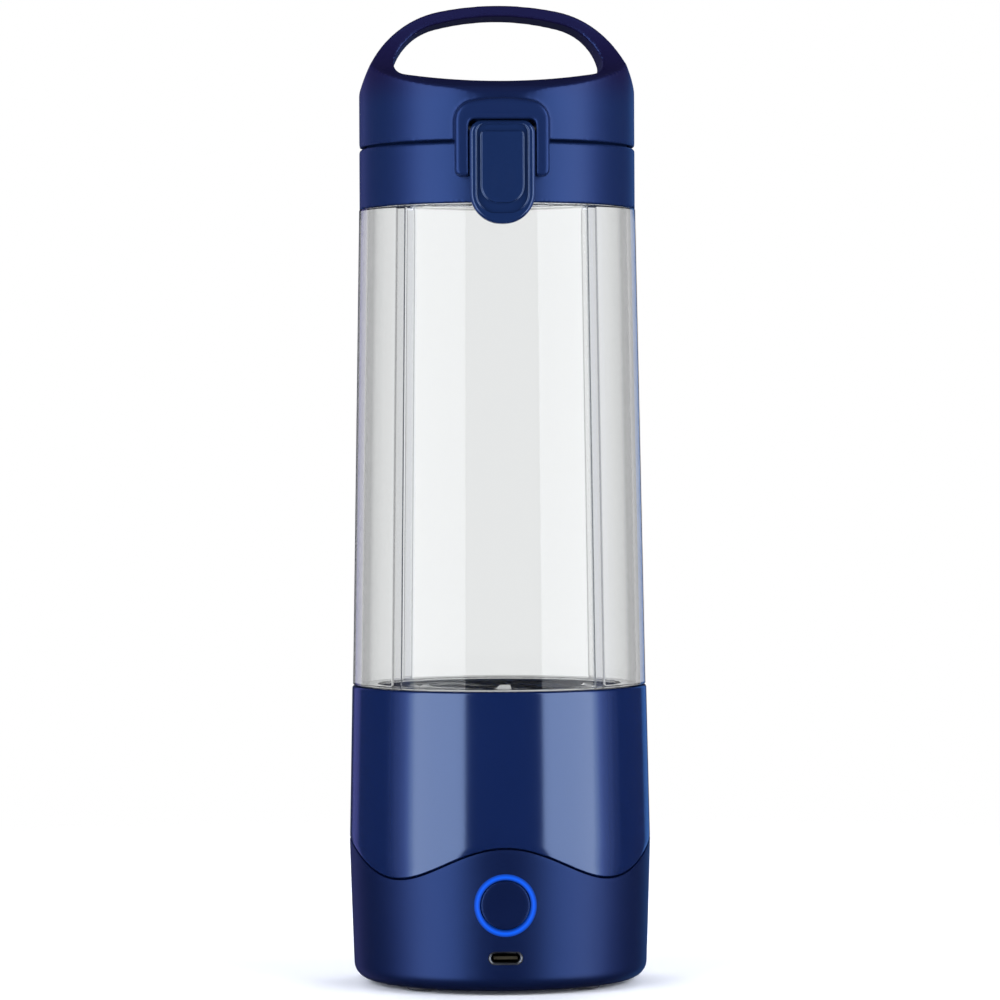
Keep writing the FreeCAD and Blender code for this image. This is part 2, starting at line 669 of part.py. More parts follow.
def make_switch():
    """Switch body on the board, and the plunger that the button presses."""
    body = new_body("switch_body")
    front = "(board_back + board_thickness)"
    sketch = new_sketch(body, "XZ", front)
    draw(sketch, rectangle("-switch_width / 2", "switch_width / 2",
                           "button_height - switch_width / 2", "button_height + switch_width / 2"))
    pad(body, sketch, "switch_depth")
    sketch = new_sketch(body, "XZ", f"{front} + switch_depth")
    draw_circle(sketch, "0", "button_height", "plunger_radius + running_fit")
    pocket(body, sketch, "switch_depth - 2 * joint_gap")
    plunger = new_body("switch_plunger")
    level = f"({front} + 3 * joint_gap + button_travel)"
    sketch = new_sketch(plunger, "XZ", level)
    draw_circle(sketch, "0", "button_height", "plunger_radius")
    pad(plunger, sketch, f"button_back - {level}")
    return [body, plunger]


def make_control_board():
    body = new_body("control_board")
    sketch = new_sketch(body, "XZ", "board_back")
    draw(sketch, rectangle("-board_width / 2", "board_width / 2", COVER_TOP,
                           f"{COVER_TOP} + board_height"))
    pad(body, sketch, "board_thickness")
    return body


def make_usb_socket():
    body = new_body("usb_socket")
    back = "(board_back + board_thickness)"
    sketch = new_sketch(body, "XZ", back)
    draw_slot(sketch, "0", "usb_height", "usb_width", "usb_rise")
    pad(body, sketch, f"usb_front - {back}")
    sketch = new_sketch(body, "XZ", "usb_front")
    draw_slot(sketch, "0", "usb_height", "usb_bore_width", "usb_bore_rise")
    pocket(body, sketch, f"usb_front - {back} - 1")
    tongue = new_body("usb_tongue")
    sketch = new_sketch(tongue, "XZ", f"{back} + 1")
    draw(sketch, rectangle("-tongue_width / 2", "tongue_width / 2",
                           "usb_height - tongue_rise / 2", "usb_height + tongue_rise / 2"))
    pad(tongue, sketch, f"usb_front - {back} - 2")
    return [body, tongue]


# ---------------------------------------------------------------- cells

def make_battery():
    """Two cells beside the motor, in a cradle on the cover and under foam pads."""
    pieces = []
    cell_bottom = f"({COVER_TOP} + cradle_plate)"
    cell_top = f"({cell_bottom} + cell_length)"
    for name, sign in (("battery_cell_left", "-"), ("battery_cell_right", "")):
        body = new_body(name)
        sketch = new_sketch(body, "XY", cell_bottom)
        draw_circle(sketch, f"{sign}cell_offset", "0", "cell_radius")
        pad(body, sketch, "cell_length")
        pieces.append(body)
    cradle = new_body("battery_cradle")
    sketch = new_sketch(cradle, "XY", COVER_TOP)
    draw(sketch, rectangle("-cell_offset", "cell_offset", "-cell_radius / 2", "cell_radius / 2"))
    pad(cradle, sketch, "cradle_plate")
    sketch = new_sketch(cradle, "XY", COVER_TOP)
    draw_circle(sketch, "cell_offset", "0", "cell_radius + cradle_wall")
    cup = pad(cradle, sketch, "cradle_height")
    sketch = new_sketch(cradle, "XY", cell_bottom)
    draw_circle(sketch, "cell_offset", "0", "cell_radius + fixed_fit")
    bore = pocket(cradle, sketch, "cradle_height", forwards=True)
    ring_of(cradle, [cup, bore], 2)
    pieces.append(cradle)
    pads = new_body("cell_pads")
    sketch = new_sketch(pads, "XY", cell_top)
    draw_circle(sketch, "cell_offset", "0", "pad_radius")
    foam = pad(pads, sketch, f"{DECK_BOTTOM} - {cell_top}")
    ring_of(pads, [foam], 2)
    pieces.append(pads)
    return pieces


# ---------------------------------------------------------------- motor

def make_motor():
    bore = "(motor_shaft_radius + running_fit)"
    can = new_body("motor_can")
    revolve(can, [
        (bore, DECK_TOP), (bore, f"{DECK_BOTTOM} - 2 * motor_wall"),
        ("motor_radius - motor_wall", f"{DECK_BOTTOM} - 2 * motor_wall"),
        ("motor_radius - motor_wall", MOTOR_BOTTOM), ("motor_radius", MOTOR_BOTTOM),
        ("motor_radius", DECK_BOTTOM), ("motor_nose_radius", DECK_BOTTOM),
        ("motor_nose_radius", DECK_TOP)])
    sketch = new_sketch(can, "XY", DECK_BOTTOM)
    draw_circle(sketch, "mount_screw_circle", "0", "mount_screw_radius + fixed_fit")
    hole = pocket(can, sketch, "3 * motor_wall")
    ring_of(can, [hole], 2)
    bell = new_body("motor_end_bell")
    low = f"({MOTOR_BOTTOM} - end_bell_length)"
    revolve(bell, [
        (bore, MOTOR_BOTTOM), (bore, f"{low} - end_bell_nose"),
        ("motor_nose_radius", f"{low} - end_bell_nose"), ("motor_nose_radius", low),
        ("motor_radius - motor_wall", low), ("motor_radius", f"{low} + motor_wall"),
        ("motor_radius", MOTOR_BOTTOM)])
    magnets = new_body("motor_magnets")
    middle = f"({MOTOR_BOTTOM} + motor_length / 2)"
    inner = "(armature_radius + magnet_gap)"
    magnet = revolve(magnets, rectangle(inner, "motor_radius - motor_wall",
                                        f"{middle} - armature_length / 2",
                                        f"{middle} + armature_length / 2"), angle=150)
    ring_of(magnets, [magnet], 2)
    screws = new_body("motor_screws")
    sketch = new_sketch(screws, "XY", f"{DECK_TOP} - mount_head_height")
    draw_circle(sketch, "mount_screw_circle", "0", "mount_screw_head")
    head = pad(screws, sketch, "mount_head_height")
    sketch = new_sketch(screws, "XY", f"{DECK_BOTTOM} - 2 * motor_wall")
    draw_circle(sketch, "mount_screw_circle", "0", "mount_screw_radius")
    shank = pad(screws, sketch, "deck_thickness + 2 * motor_wall - mount_head_height")
    ring_of(screws, [head, shank], 2)
    return [can, bell, magnets, screws]


def make_rotor():
    """Armature, shaft and spindle, which turn with the blades."""
    middle = f"({MOTOR_BOTTOM} + motor_length / 2)"
    low = f"({MOTOR_BOTTOM} - end_bell_length - end_bell_nose)"
    top = f"({NUT_BOTTOM} + nut_height / 2)"
    step = f"({DECK_TOP} + joint_gap)"
    shaft = new_body("drive_shaft")
    revolve(shaft, [
        ("0", low), ("motor_shaft_radius", low), ("motor_shaft_radius", step),
        ("spindle_radius", step), ("spindle_radius", top), ("0", top)])
    armature = new_body("motor_armature")
    revolve(armature, rectangle("motor_shaft_radius", "armature_radius",
                                f"{middle} - armature_length / 2",
                                f"{middle} + armature_length / 2"))
    sketch = new_sketch(armature, "XY", f"{middle} - armature_length / 2")
    draw(sketch, rectangle("armature_radius / 2", "armature_radius + 1", "-armature_radius / 12",
                           "armature_radius / 12"))
    slot = pocket(armature, sketch, forwards=True)
    ring_of(armature, [slot], 5)
    return [shaft, armature]


# ---------------------------------------------------------------- blade unit

def make_blade_seat():
    body = new_body("blade_seat")
    revolve(body, [
        ("bush_radius", DECK_TOP), ("chamber_radius - fixed_fit", DECK_TOP),
        ("chamber_radius - fixed_fit", SEAT_TOP),
        ("foot_neck_radius - foot_neck_wall - joint_gap", SEAT_TOP),
        ("2 * hub_radius", f"{SEAT_TOP} + seat_thickness / 2"),
        ("hub_radius + 1.5", f"{HUB_TOP} - seat_thickness"),
        ("hub_radius", HUB_TOP), ("bush_radius", HUB_TOP)])
    bush = new_body("bearing_bush")
    revolve(bush, rectangle("spindle_radius + running_fit", "bush_radius",
                            f"{DECK_TOP} + 2 * joint_gap", HUB_TOP))
    seal = new_body("shaft_seal")
    revolve(seal, [
        ("spindle_radius + running_fit", HUB_TOP), ("bush_radius + 1", HUB_TOP),
        ("bush_radius", f"{HUB_TOP} + seal_height"),
        ("spindle_radius + running_fit", f"{HUB_TOP} + seal_height")])
    return [body, bush, seal]


def blade(label, level, reach, lift):
    """Plate with a flat middle and two raised wings that narrow to their tips, along X."""
    body = new_body(label)
    sketch = new_sketch(body, "XZ")
    top = f"({level} + blade_thickness)"
    draw(sketch, [
        ("-blade_flat", level), ("blade_flat", level), (reach, f"{level} + {lift}"),
        (reach, f"{top} + {lift}"), ("blade_flat - blade_thickness / 3", top),
        ("blade_thickness / 3 - blade_flat", top), (f"-{reach}", f"{top} + {lift}"),
        (f"-{reach}", f"{level} + {lift}")])
    pad(body, sketch, "blade_width", symmetric=True)
    wing = new_sketch(body, "XY", level)
    draw(wing, [("blade_flat", "blade_width / 2"), (reach, "blade_tip_width / 2 - blade_width / 4"),
                (f"{reach} + 1", "blade_width"), ("blade_flat", "blade_width")])
    edge = pocket(body, wing, "2 * short_blade_lift", forwards=True)
    rear = new_sketch(body, "XY", level)
    draw(rear, [("blade_flat", "-blade_width / 2"), (f"{reach} + 1", "-blade_width / 2 - 1"),
                (f"{reach} + 1", "-blade_tip_width"), (reach, "-blade_tip_width")])
    back = pocket(body, rear, "2 * short_blade_lift", forwards=True)
    ring_of(body, [edge, back], 2)
    bore = new_sketch(body, "XY", level)
    draw_circle(bore, "0", "0", "spindle_radius")
    pocket(body, bore, "blade_thickness", forwards=True)
    return body


def make_blades():
    long_blade = blade("blade_lower", LONG_BLADE, "long_blade_reach", "long_blade_lift")
    short_blade = blade("blade_upper", SHORT_BLADE, "short_blade_reach", "short_blade_lift")
    short_blade.Placement = Placement(Vector(), Rotation(Vector(0, 0, 1), 90))
    nut = new_body("blade_nut")
    middle = f"({NUT_BOTTOM} + nut_height / 2)"
    dome = "(nut_height / 2)"
    revolve(nut, [
        ("spindle_radius", NUT_BOTTOM), ("nut_radius", NUT_BOTTOM),
        ("nut_radius", middle, f"(nut_radius^2 / (2 * {dome}) + {dome} / 2)"),
        ("0", f"{middle} + {dome}"), ("0", middle), ("spindle_radius", middle)])
    return [long_blade, short_blade, nut]


# ---------------------------------------------------------------- cup

def make_cup():
    body = new_body("cup")
    neck_inside = "(foot_neck_radius - foot_neck_wall)"
    mouth_inside = "(mouth_neck_radius - mouth_neck_wall)"
    revolve(body, [
        (neck_inside, NECK_BOTTOM), ("foot_neck_radius", NECK_BOTTOM),
        ("foot_neck_radius", CUP_BOTTOM), ("cup_lower_radius", CUP_BOTTOM),
        ("cup_upper_radius", CUP_TOP), ("mouth_neck_radius", CUP_TOP),
        ("mouth_neck_radius", MOUTH_TOP), (mouth_inside, MOUTH_TOP),
        (mouth_inside, f"{CUP_TOP} - shoulder_wall"),
        ("cup_upper_radius - cup_wall", f"{CUP_TOP} - shoulder_wall - shoulder_height"),
        ("cup_lower_radius - cup_wall", f"{CUP_BOTTOM} + shoulder_wall + shoulder_height"),
        (neck_inside, f"{CUP_BOTTOM} + shoulder_wall")])
    return body


def make_cup_ribs(body):
    """Four upright ribs inside the cup wall, which follow its taper."""
    low = f"({CUP_BOTTOM} + shoulder_wall + shoulder_height + rib_end)"
    high = f"({CUP_TOP} - shoulder_wall - shoulder_height - rib_end)"
    sketch = new_sketch(body, "XZ")
    inner = "(cup_wall + rib_depth)"
    middle = "(cup_wall / 2)"
    draw(sketch, [
        (f"cup_lower_radius - {inner}", low), (f"cup_lower_radius - {middle}", low),
        (f"cup_upper_radius - {middle}", high), (f"cup_upper_radius - {inner}", high)])
    rib = pad(body, sketch, "rib_width", symmetric=True)
    ring_of(body, [rib], 4)
    return body


def make_seals():
    cup_seal = new_body("cup_seal")
    revolve(cup_seal, rectangle("foot_neck_radius - foot_neck_wall + seat_play", "foot_neck_radius",
                                CUP_SEAL, f"{CUP_SEAL} + seal_thickness"))
    collar_seal = new_body("collar_seal")
    low = f"({MOUTH_TOP} + seat_play)"
    revolve(collar_seal, rectangle("mouth_neck_radius - mouth_neck_wall", "mouth_neck_radius",
                                   low, f"{LID_DECK_BOTTOM} - seat_play"))
    return [cup_seal, collar_seal]


# ---------------------------------------------------------------- collar

def make_collar():
    body = new_body("collar")
    revolve(body, [
        ("collar_bore", COLLAR_BOTTOM), ("collar_radius - edge_break", COLLAR_BOTTOM),
        ("collar_radius", f"{COLLAR_BOTTOM} + edge_break"),
        ("collar_radius", f"{COLLAR_TOP} - edge_break"), ("collar_radius - edge_break", COLLAR_TOP),
        ("step_radius", COLLAR_TOP), ("step_radius", f"{COLLAR_TOP} + step_height"),
        ("step_radius - step_width", f"{COLLAR_TOP} + step_height"),
        ("step_radius - step_width", LID_DECK_TOP), ("0", LID_DECK_TOP), ("0", LID_DECK_BOTTOM),
        ("collar_bore", LID_DECK_BOTTOM)])
    sketch = new_sketch(body, "XY", LID_DECK_TOP)
    draw_circle(sketch, "0", "-spout_offset", "spout_radius")
    pad(body, sketch, "spout_height")
    sketch = new_sketch(body, "XY", SPOUT_TOP)
    draw_circle(sketch, "0", "-spout_offset", "spout_radius - spout_wall")
    pocket(body, sketch)
    dress(body, "Chamfer", "spout_wall / 3", lambda edge: flat_at(edge, value(SPOUT_TOP)))
    ledge_top = f"({CAP_BOTTOM} - apron_drop - joint_gap)"
    sketch = new_sketch(body, "YZ")
    draw(sketch, [
        ("-collar_radius + 1", f"{ledge_top} - catch_height"),
        ("-collar_radius - catch_reach", f"{ledge_top} - catch_height"),
        ("-collar_radius - catch_reach", f"{ledge_top} - catch_height / 2"),
        ("-collar_radius + 1", ledge_top)])
    pad(body, sketch, "catch_width", symmetric=True)
    return body


def add_collar_knuckles(body):
    """Two knuckles of the collar, one each side of the cap's."""
    inner = "(knuckle_half + joint_gap)"
    for near_side, far_side in ((inner, f"{inner} + knuckle_side"), (f"-{inner} - knuckle_side", f"-{inner}")):
        sketch = new_sketch(body, "YZ", near_side)
        draw(sketch, [
            ("collar_bore", f"{COLLAR_TOP} - 3 * knuckle_radius"),
            ("hinge_offset", f"{HINGE_HEIGHT} - knuckle_radius", "knuckle_radius"),
            ("hinge_offset", f"{HINGE_HEIGHT} + knuckle_radius", "knuckle_radius"),
            ("hinge_offset - knuckle_radius", HINGE_HEIGHT),
            ("hinge_offset - knuckle_radius", COLLAR_TOP),
            ("collar_bore", COLLAR_TOP)])
        pad(body, sketch, "knuckle_side")
    sketch = new_sketch(body, "YZ")
    draw_circle(sketch, "hinge_offset", HINGE_HEIGHT, "hinge_pin_radius + fixed_fit")
    pocket(body, sketch, "4 * knuckle_half", symmetric=True)


def make_hinge_pin():
    body = new_body("hinge_pin")
    sketch = new_sketch(body, "YZ")
    draw_circle(sketch, "hinge_offset", HINGE_HEIGHT, "hinge_pin_radius")
    pad(body, sketch, "2 * (knuckle_half + joint_gap + knuckle_side)", symmetric=True)
    return body


# ---------------------------------------------------------------- flip cap

def above_cap(height):
    return f"({CAP_BOTTOM} + {height})"


def cap_front_outline():
    """Wall, cheeks, shoulders and crown of the handle, seen from the front."""
    right = [
        ("collar_radius", CAP_BOTTOM),
        ("collar_radius", above_cap("cap_cheek_start"), "cheek_radius"),
        ("cheek_half_width", above_cap("cheek_height"), "shoulder_radius")]
    crown_end = above_cap("handle_height - crown_drop")
    crown_radius = "(crown_half_width^2 / (2 * crown_drop) + crown_drop / 2)"
    crown = [("crown_half_width", crown_end, crown_radius), ("-crown_half_width", crown_end, "shoulder_radius")]
    left = [
        ("-cheek_half_width", above_cap("cheek_height"), "cheek_radius"),
        ("-collar_radius", above_cap("cap_cheek_start")),
        ("-collar_radius", CAP_BOTTOM)]
    return right + crown + left


def finger_gap_outline():
    """Gap under the handle: a hollow floor, tight lower corners and an arched top."""
    floor_end = above_cap("saddle_height + saddle_end_rise")
    widest = above_cap("gap_side_height")
    shoulder = above_cap("gap_shoulder_height")
    saddle_radius = "(saddle_half_width^2 / (2 * saddle_end_rise) + saddle_end_rise / 2)"
    fall = "(gap_height - gap_shoulder_height)"
    crown_radius = f"(gap_shoulder_half^2 / (2 * {fall}) + {fall} / 2)"
    return [
        ("-saddle_half_width", floor_end, saddle_radius),
        ("saddle_half_width", floor_end, "gap_corner_radius"),
        ("gap_half_width", widest, "gap_shoulder_radius"),
        ("gap_shoulder_half", shoulder, crown_radius),
        ("-gap_shoulder_half", shoulder, "gap_shoulder_radius"),
        ("-gap_half_width", widest, "gap_corner_radius")]


def beside_handle(sign):
    """Space in front of or behind the handle, seen from the side."""
    slope_top = above_cap("cap_wall_height + cap_slope_rise")
    tilt = "atan(cap_slope_rise / (collar_radius - cap_slope_end))"
    reach = f"(cap_edge_round * tan((90deg - {tilt}) / 2))"
    round_start = above_cap(f"cap_wall_height - {reach}")
    round_end = above_cap(f"cap_wall_height + {reach} * sin({tilt})")
    sweep_top = above_cap(
        f"cap_wall_height + cap_slope_rise + handle_sweep_radius * cos({tilt})")
    sky = above_cap("2 * handle_height")
    other = "" if sign else "-"
    corners = [
        (f"{sign}2 * collar_radius", sky), (f"{sign}2 * collar_radius", round_start),
        (f"{sign}collar_radius", round_start, f"{sign}cap_edge_round"),
        (f"{sign}(collar_radius - {reach} * cos({tilt}))", round_end),
        (f"{sign}cap_slope_end", slope_top, f"{other}handle_sweep_radius"),
        (f"{sign}handle_half_depth", sweep_top), (f"{sign}handle_half_depth", sky)]
    return corners


def make_cap_form():
    """Cap and handle as one moulding: the front outline, cut by the side outline and the round wall."""
    body = new_body("flip_cap")
    sketch = new_sketch(body, "XZ")
    draw(sketch, cap_front_outline())
    draw(sketch, finger_gap_outline())
    pad(body, sketch, "2 * collar_radius + 4", symmetric=True)
    for sign in ("", "-"):
        sketch = new_sketch(body, "YZ")
        draw(sketch, beside_handle(sign))
        pocket(body, sketch, "4 * collar_radius", symmetric=True)
    groove(body, rectangle("collar_radius", "2 * collar_radius", f"{CAP_BOTTOM} - 1",
                           above_cap("handle_height + 1")))
    return body


def add_apron(body):
    """Flat front panel with an arched top that hangs over the collar."""
    low = above_cap("-apron_drop")
    half = "(apron_width / 2)"
    lean = "asin((apron_width / 2 - apron_top_round) / (apron_crown_radius - apron_top_round))"
    crown_end = above_cap(f"apron_rise - apron_crown_radius * (1 - cos({lean}))")
    side_top = f"({crown_end} - apron_top_round * cos({lean}))"
    crown_half = f"({half} - apron_top_round * (1 - sin({lean})))"
    sketch = new_sketch(body, "XZ", "apron_face")
    draw(sketch, [
        (f"apron_low_round - {half}", low), (f"{half} - apron_low_round", low, "apron_low_round"),
        (half, f"{low} + apron_low_round"), (half, side_top, "apron_top_round"),
        (crown_half, crown_end, "apron_crown_radius"), (f"-{crown_half}", crown_end, "apron_top_round"),
        (f"-{half}", side_top), (f"-{half}", f"{low} + apron_low_round", "apron_low_round")])
    pad(body, sketch, "apron_face - collar_radius + 7", backwards=True)
    dress(body, "Fillet", "apron_edge_round", lambda edge: faces_front(edge, value("apron_face")))


def cut_recess(body):
    """Recess of the lever in the panel, open below, with room behind the pin for the lever's turn."""
    inner = "(lever_width / 2 + latch_gap)"
    top = above_cap("lever_top + latch_gap")
    low = above_cap("-2 * apron_drop")
    sketch = new_sketch(body, "XZ", "apron_face")
    draw(sketch, [
        (f"-{inner}", low), (inner, low), (inner, f"{top} - recess_round", "recess_round"),
        (f"{inner} - recess_round", top), (f"recess_round - {inner}", top, "recess_round"),
        (f"-{inner}", f"{top} - recess_round")])
    pocket(body, sketch, "recess_depth")
    room = "(lever_top + latch_gap - latch_axis_height)"
    sketch = new_sketch(body, "YZ")
    draw(sketch, [
        ("-latch_axis_offset", f"{LATCH_HEIGHT} - {room}", room),
        (f"{room} - latch_axis_offset", LATCH_HEIGHT, room),
        ("-latch_axis_offset", f"{LATCH_HEIGHT} + {room}")])
    pocket(body, sketch, f"2 * {inner}", symmetric=True)


def hollow_cap(body):
    """Hollow under the cap, and the room for the collar behind the hanging panel."""
    inside = "(collar_radius - cap_skirt_wall)"
    side_top = above_cap("cap_hollow_side")
    centre_top = above_cap("cap_hollow_height")
    rise = "(cap_hollow_height - cap_hollow_side)"
    dome_radius = f"({inside}^2 / (2 * {rise}) + {rise} / 2)"
    groove(body, [
        ("0", f"{CAP_BOTTOM} - 1"), (inside, f"{CAP_BOTTOM} - 1"), (inside, side_top, dome_radius),
        ("0", centre_top)])
    groove(body, rectangle("collar_radius / 2", "collar_radius + joint_gap",
                           above_cap("-2 * apron_drop"), CAP_BOTTOM))


def add_plug_boss(body):
    sketch = new_sketch(body, "XY", above_cap("plug_boss_height"))
    draw_circle(sketch, "0", "-spout_offset", "plug_boss_radius")
    pad(body, sketch, "cap_hollow_height - plug_boss_height + 0.5")


def add_cap_knuckle(body):
    sketch = new_sketch(body, "YZ")
    draw(sketch, [
        ("collar_radius - cap_skirt_wall / 2", f"{CAP_BOTTOM} + joint_gap"),
        ("hinge_offset - knuckle_radius", f"{CAP_BOTTOM} + joint_gap"),
        ("hinge_offset - knuckle_radius", HINGE_HEIGHT, "knuckle_radius"),
        ("hinge_offset", f"{HINGE_HEIGHT} - knuckle_radius", "knuckle_radius"),
        ("hinge_offset", f"{HINGE_HEIGHT} + knuckle_radius"),
        ("collar_radius - cap_skirt_wall / 2", f"{CAP_BOTTOM} + 3 * knuckle_radius")])
    pad(body, sketch, "2 * knuckle_half", symmetric=True)
    sketch = new_sketch(body, "YZ")
    draw_circle(sketch, "hinge_offset", HINGE_HEIGHT, "hinge_pin_radius + running_fit")
    pocket(body, sketch, "4 * knuckle_half", symmetric=True)


def add_latch_bores(body):
    sketch = new_sketch(body, "YZ")
    draw_circle(sketch, "-latch_axis_offset", LATCH_HEIGHT, "latch_pin_radius + fixed_fit")
    pocket(body, sketch, LATCH_PIN_LENGTH, symmetric=True)


def make_flip_cap():
    body = make_cap_form()
    add_apron(body)
    hollow_cap(body)
    cut_recess(body)
    add_plug_boss(body)
    add_cap_knuckle(body)
    add_latch_bores(body)
    return body


def make_spout_plug():
    body = new_body("spout_plug")
    boss = above_cap("plug_boss_height")
    bore = "(spout_radius - spout_wall - joint_gap)"
    rim = f"({SPOUT_TOP} + joint_gap)"
    revolve(body, [
        ("0", boss), ("0", f"{rim} - plug_depth"), (f"{bore} - plug_taper", f"{rim} - plug_depth"),
        (bore, rim), ("plug_flange_radius", rim), ("plug_flange_radius", boss)])
    body.Placement = Placement(Vector(0, -value("spout_offset"), 0), Rotation())
    body.setExpression("Placement.Base.y", bound("-spout_offset"))
    return body


# ---------------------------------------------------------------- latch

def tongue_outline(half, low, top, lower_round, upper_round):
    """Upright outline with rounded corners."""
    return [
        (half, f"{low} + {lower_round}"), (half, f"{top} - {upper_round}", upper_round),
        (f"{half} - {upper_round}", top), (f"{upper_round} - {half}", top, upper_round),
        (f"-{half}", f"{top} - {upper_round}"), (f"-{half}", f"{low} + {lower_round}", lower_round),
        (f"{lower_round} - {half}", low), (f"{half} - {lower_round}", low, lower_round)]


def make_latch_lever():
    body = new_body("latch_lever")
    tip = above_cap("-lever_drop")
    half = "(lever_width / 2)"
    sketch = new_sketch(body, "XZ", "lever_back")
    draw(sketch, tongue_outline(half, tip, above_cap("lever_top"), "lever_tip_round", "lever_round"))
    pad(body, sketch, "lever_face - lever_back")
    dress(body, "Chamfer", "lever_bevel", lambda edge: faces_front(edge, value("lever_face")))
    sketch = new_sketch(body, "XZ", "lever_face")
    draw(sketch, tongue_outline(f"({half} - lever_rim)", f"({tip} + lever_lip)",
                                above_cap("lever_top - channel_top"), "lip_round", "channel_round"))
    draw(sketch, tongue_outline("(lever_pad_width / 2)", f"({tip} + pad_end)",
                                above_cap("lever_top - pad_top"), "pad_round", "pad_top_round"))
    pocket(body, sketch, "channel_depth")
    sketch = new_sketch(body, "YZ")
    nose = "(lever_top - latch_axis_height)"
    sky = above_cap("2 * lever_top")
    draw(sketch, [
        (f"{nose} - latch_axis_offset", LATCH_HEIGHT), (f"{nose} - latch_axis_offset", sky),
        ("-2 * lever_face", sky), ("-2 * lever_face", LATCH_HEIGHT),
        (f"-latch_axis_offset - {nose}", LATCH_HEIGHT, f"-{nose}"),
        ("-latch_axis_offset", f"{LATCH_HEIGHT} + {nose}", f"-{nose}")])
    pocket(body, sketch, "2 * lever_width", symmetric=True)
    hook_top = f"({CAP_BOTTOM} - apron_drop - catch_height - 2 * joint_gap)"
    sketch = new_sketch(body, "YZ")
    draw(sketch, [
        ("-lever_back - 1", hook_top), ("-lever_back - 1", f"{hook_top} - 2 * catch_height"),
        ("-lever_back", f"{hook_top} - 2 * catch_height"),
        ("-collar_radius - 2 * joint_gap", f"{hook_top} - catch_height / 2"),
        ("-collar_radius - 2 * joint_gap", hook_top)])
    pad(body, sketch, "catch_width", symmetric=True)
    sketch = new_sketch(body, "YZ")
    draw_circle(sketch, "-latch_axis_offset", LATCH_HEIGHT, "latch_pin_radius + running_fit")
    pocket(body, sketch, "2 * lever_width", symmetric=True)
    return body


def make_latch_pin():
    body = new_body("latch_pin")
    sketch = new_sketch(body, "YZ")
    draw_circle(sketch, "-latch_axis_offset", LATCH_HEIGHT, "latch_pin_radius")
    pad(body, sketch, LATCH_PIN_LENGTH, symmetric=True)
    return body


def make_parts():
    parts = make_base()
    parts += [make_bottom_cover(), make_feet(), make_cover_screws()]
    parts += [make_light_ring(), make_power_button()]
    parts += make_switch()
    parts += [make_control_board()]
    parts += make_usb_socket()
    parts += make_battery()
    parts += make_motor()
    parts += make_rotor()
    parts += make_blade_seat()
    parts += make_blades()
    cup = make_cup_ribs(make_cup())
    cup.Placement = Placement(Vector(), Rotation(Vector(0, 0, 1), 45))
    parts += [cup]
    parts += make_seals()
    collar = make_collar()
    add_collar_knuckles(collar)
    parts += [collar, make_hinge_pin(), make_flip_cap(), make_spout_plug()]
    parts += [make_latch_lever(), make_latch_pin()]
    return parts


def write_parts(parts):
    doc.recompute()
    for item in doc.Objects:
        if "Invalid" in item.State or "Error" in item.State:
            raise RuntimeError(f"{item.Label} failed: {item.State}")
    for part in parts:
        if part.Shape.isNull() or not part.Shape.isValid() or not part.Shape.Solids:
            raise RuntimeError(f"{part.Label} has no valid solid")
    os.makedirs("parts", exist_ok=True)
    for part in parts:
        part.Shape.exportStep(f"parts/{part.Label}.step")
    print(len(parts), "parts")


write_parts(make_parts())
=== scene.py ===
import bmesh
import bpy
import json
import math
from bpy.props import FloatProperty, FloatVectorProperty, IntProperty, PointerProperty
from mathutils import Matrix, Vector


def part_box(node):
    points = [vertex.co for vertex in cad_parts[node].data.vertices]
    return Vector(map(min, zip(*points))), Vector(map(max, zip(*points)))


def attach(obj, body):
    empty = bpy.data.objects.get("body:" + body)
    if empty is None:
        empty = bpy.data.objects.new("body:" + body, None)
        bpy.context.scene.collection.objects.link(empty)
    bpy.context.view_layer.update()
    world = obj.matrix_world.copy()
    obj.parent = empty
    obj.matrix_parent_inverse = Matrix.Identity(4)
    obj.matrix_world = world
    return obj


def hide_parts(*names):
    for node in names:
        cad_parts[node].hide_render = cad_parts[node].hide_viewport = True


bl_info = {
    "name": "Cordless Personal Blender",
    "version": (1, 0, 0),
    "blender": (4, 5, 0),
    "location": "View3D > Sidebar > Blender Model",
    "description": "Dresses the pieces of a cordless personal blender with a flip-top lid",
    "category": "Object",
}

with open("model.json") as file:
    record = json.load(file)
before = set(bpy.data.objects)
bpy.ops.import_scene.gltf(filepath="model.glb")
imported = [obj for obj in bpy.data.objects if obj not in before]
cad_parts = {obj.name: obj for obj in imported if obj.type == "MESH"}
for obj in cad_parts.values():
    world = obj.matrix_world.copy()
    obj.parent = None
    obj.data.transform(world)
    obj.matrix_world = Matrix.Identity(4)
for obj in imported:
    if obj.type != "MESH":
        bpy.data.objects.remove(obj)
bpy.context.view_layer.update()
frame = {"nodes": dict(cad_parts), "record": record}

MM = 0.001
SHELL_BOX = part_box("base_shell")
SLEEVE_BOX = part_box("grip_sleeve")
CUP_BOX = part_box("cup")
COLLAR_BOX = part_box("collar")
LEVER_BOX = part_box("latch_lever")
RING_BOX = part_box("light_ring")
BUTTON_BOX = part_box("power_button")
SOCKET_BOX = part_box("usb_socket")
PIN_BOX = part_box("hinge_pin")
GLOW_INNER = RING_BOX[1].x - 1.65 * MM


def middle_height(box):
    return (box[0].z + box[1].z) / 2


def length(name, size, description):
    return FloatProperty(name=name, description=description, default=size, min=0.0, unit="LENGTH")


def number(name, count, description):
    return IntProperty(name=name, description=description, default=count, min=1)


def angle_size(name, degrees, description):
    return FloatProperty(name=name, description=description, default=math.radians(degrees), subtype="ANGLE")


def tint(name, colour, description):
    return FloatVectorProperty(name=name, description=description, default=colour, size=3,
                               min=0.0, max=10.0, subtype="COLOR")


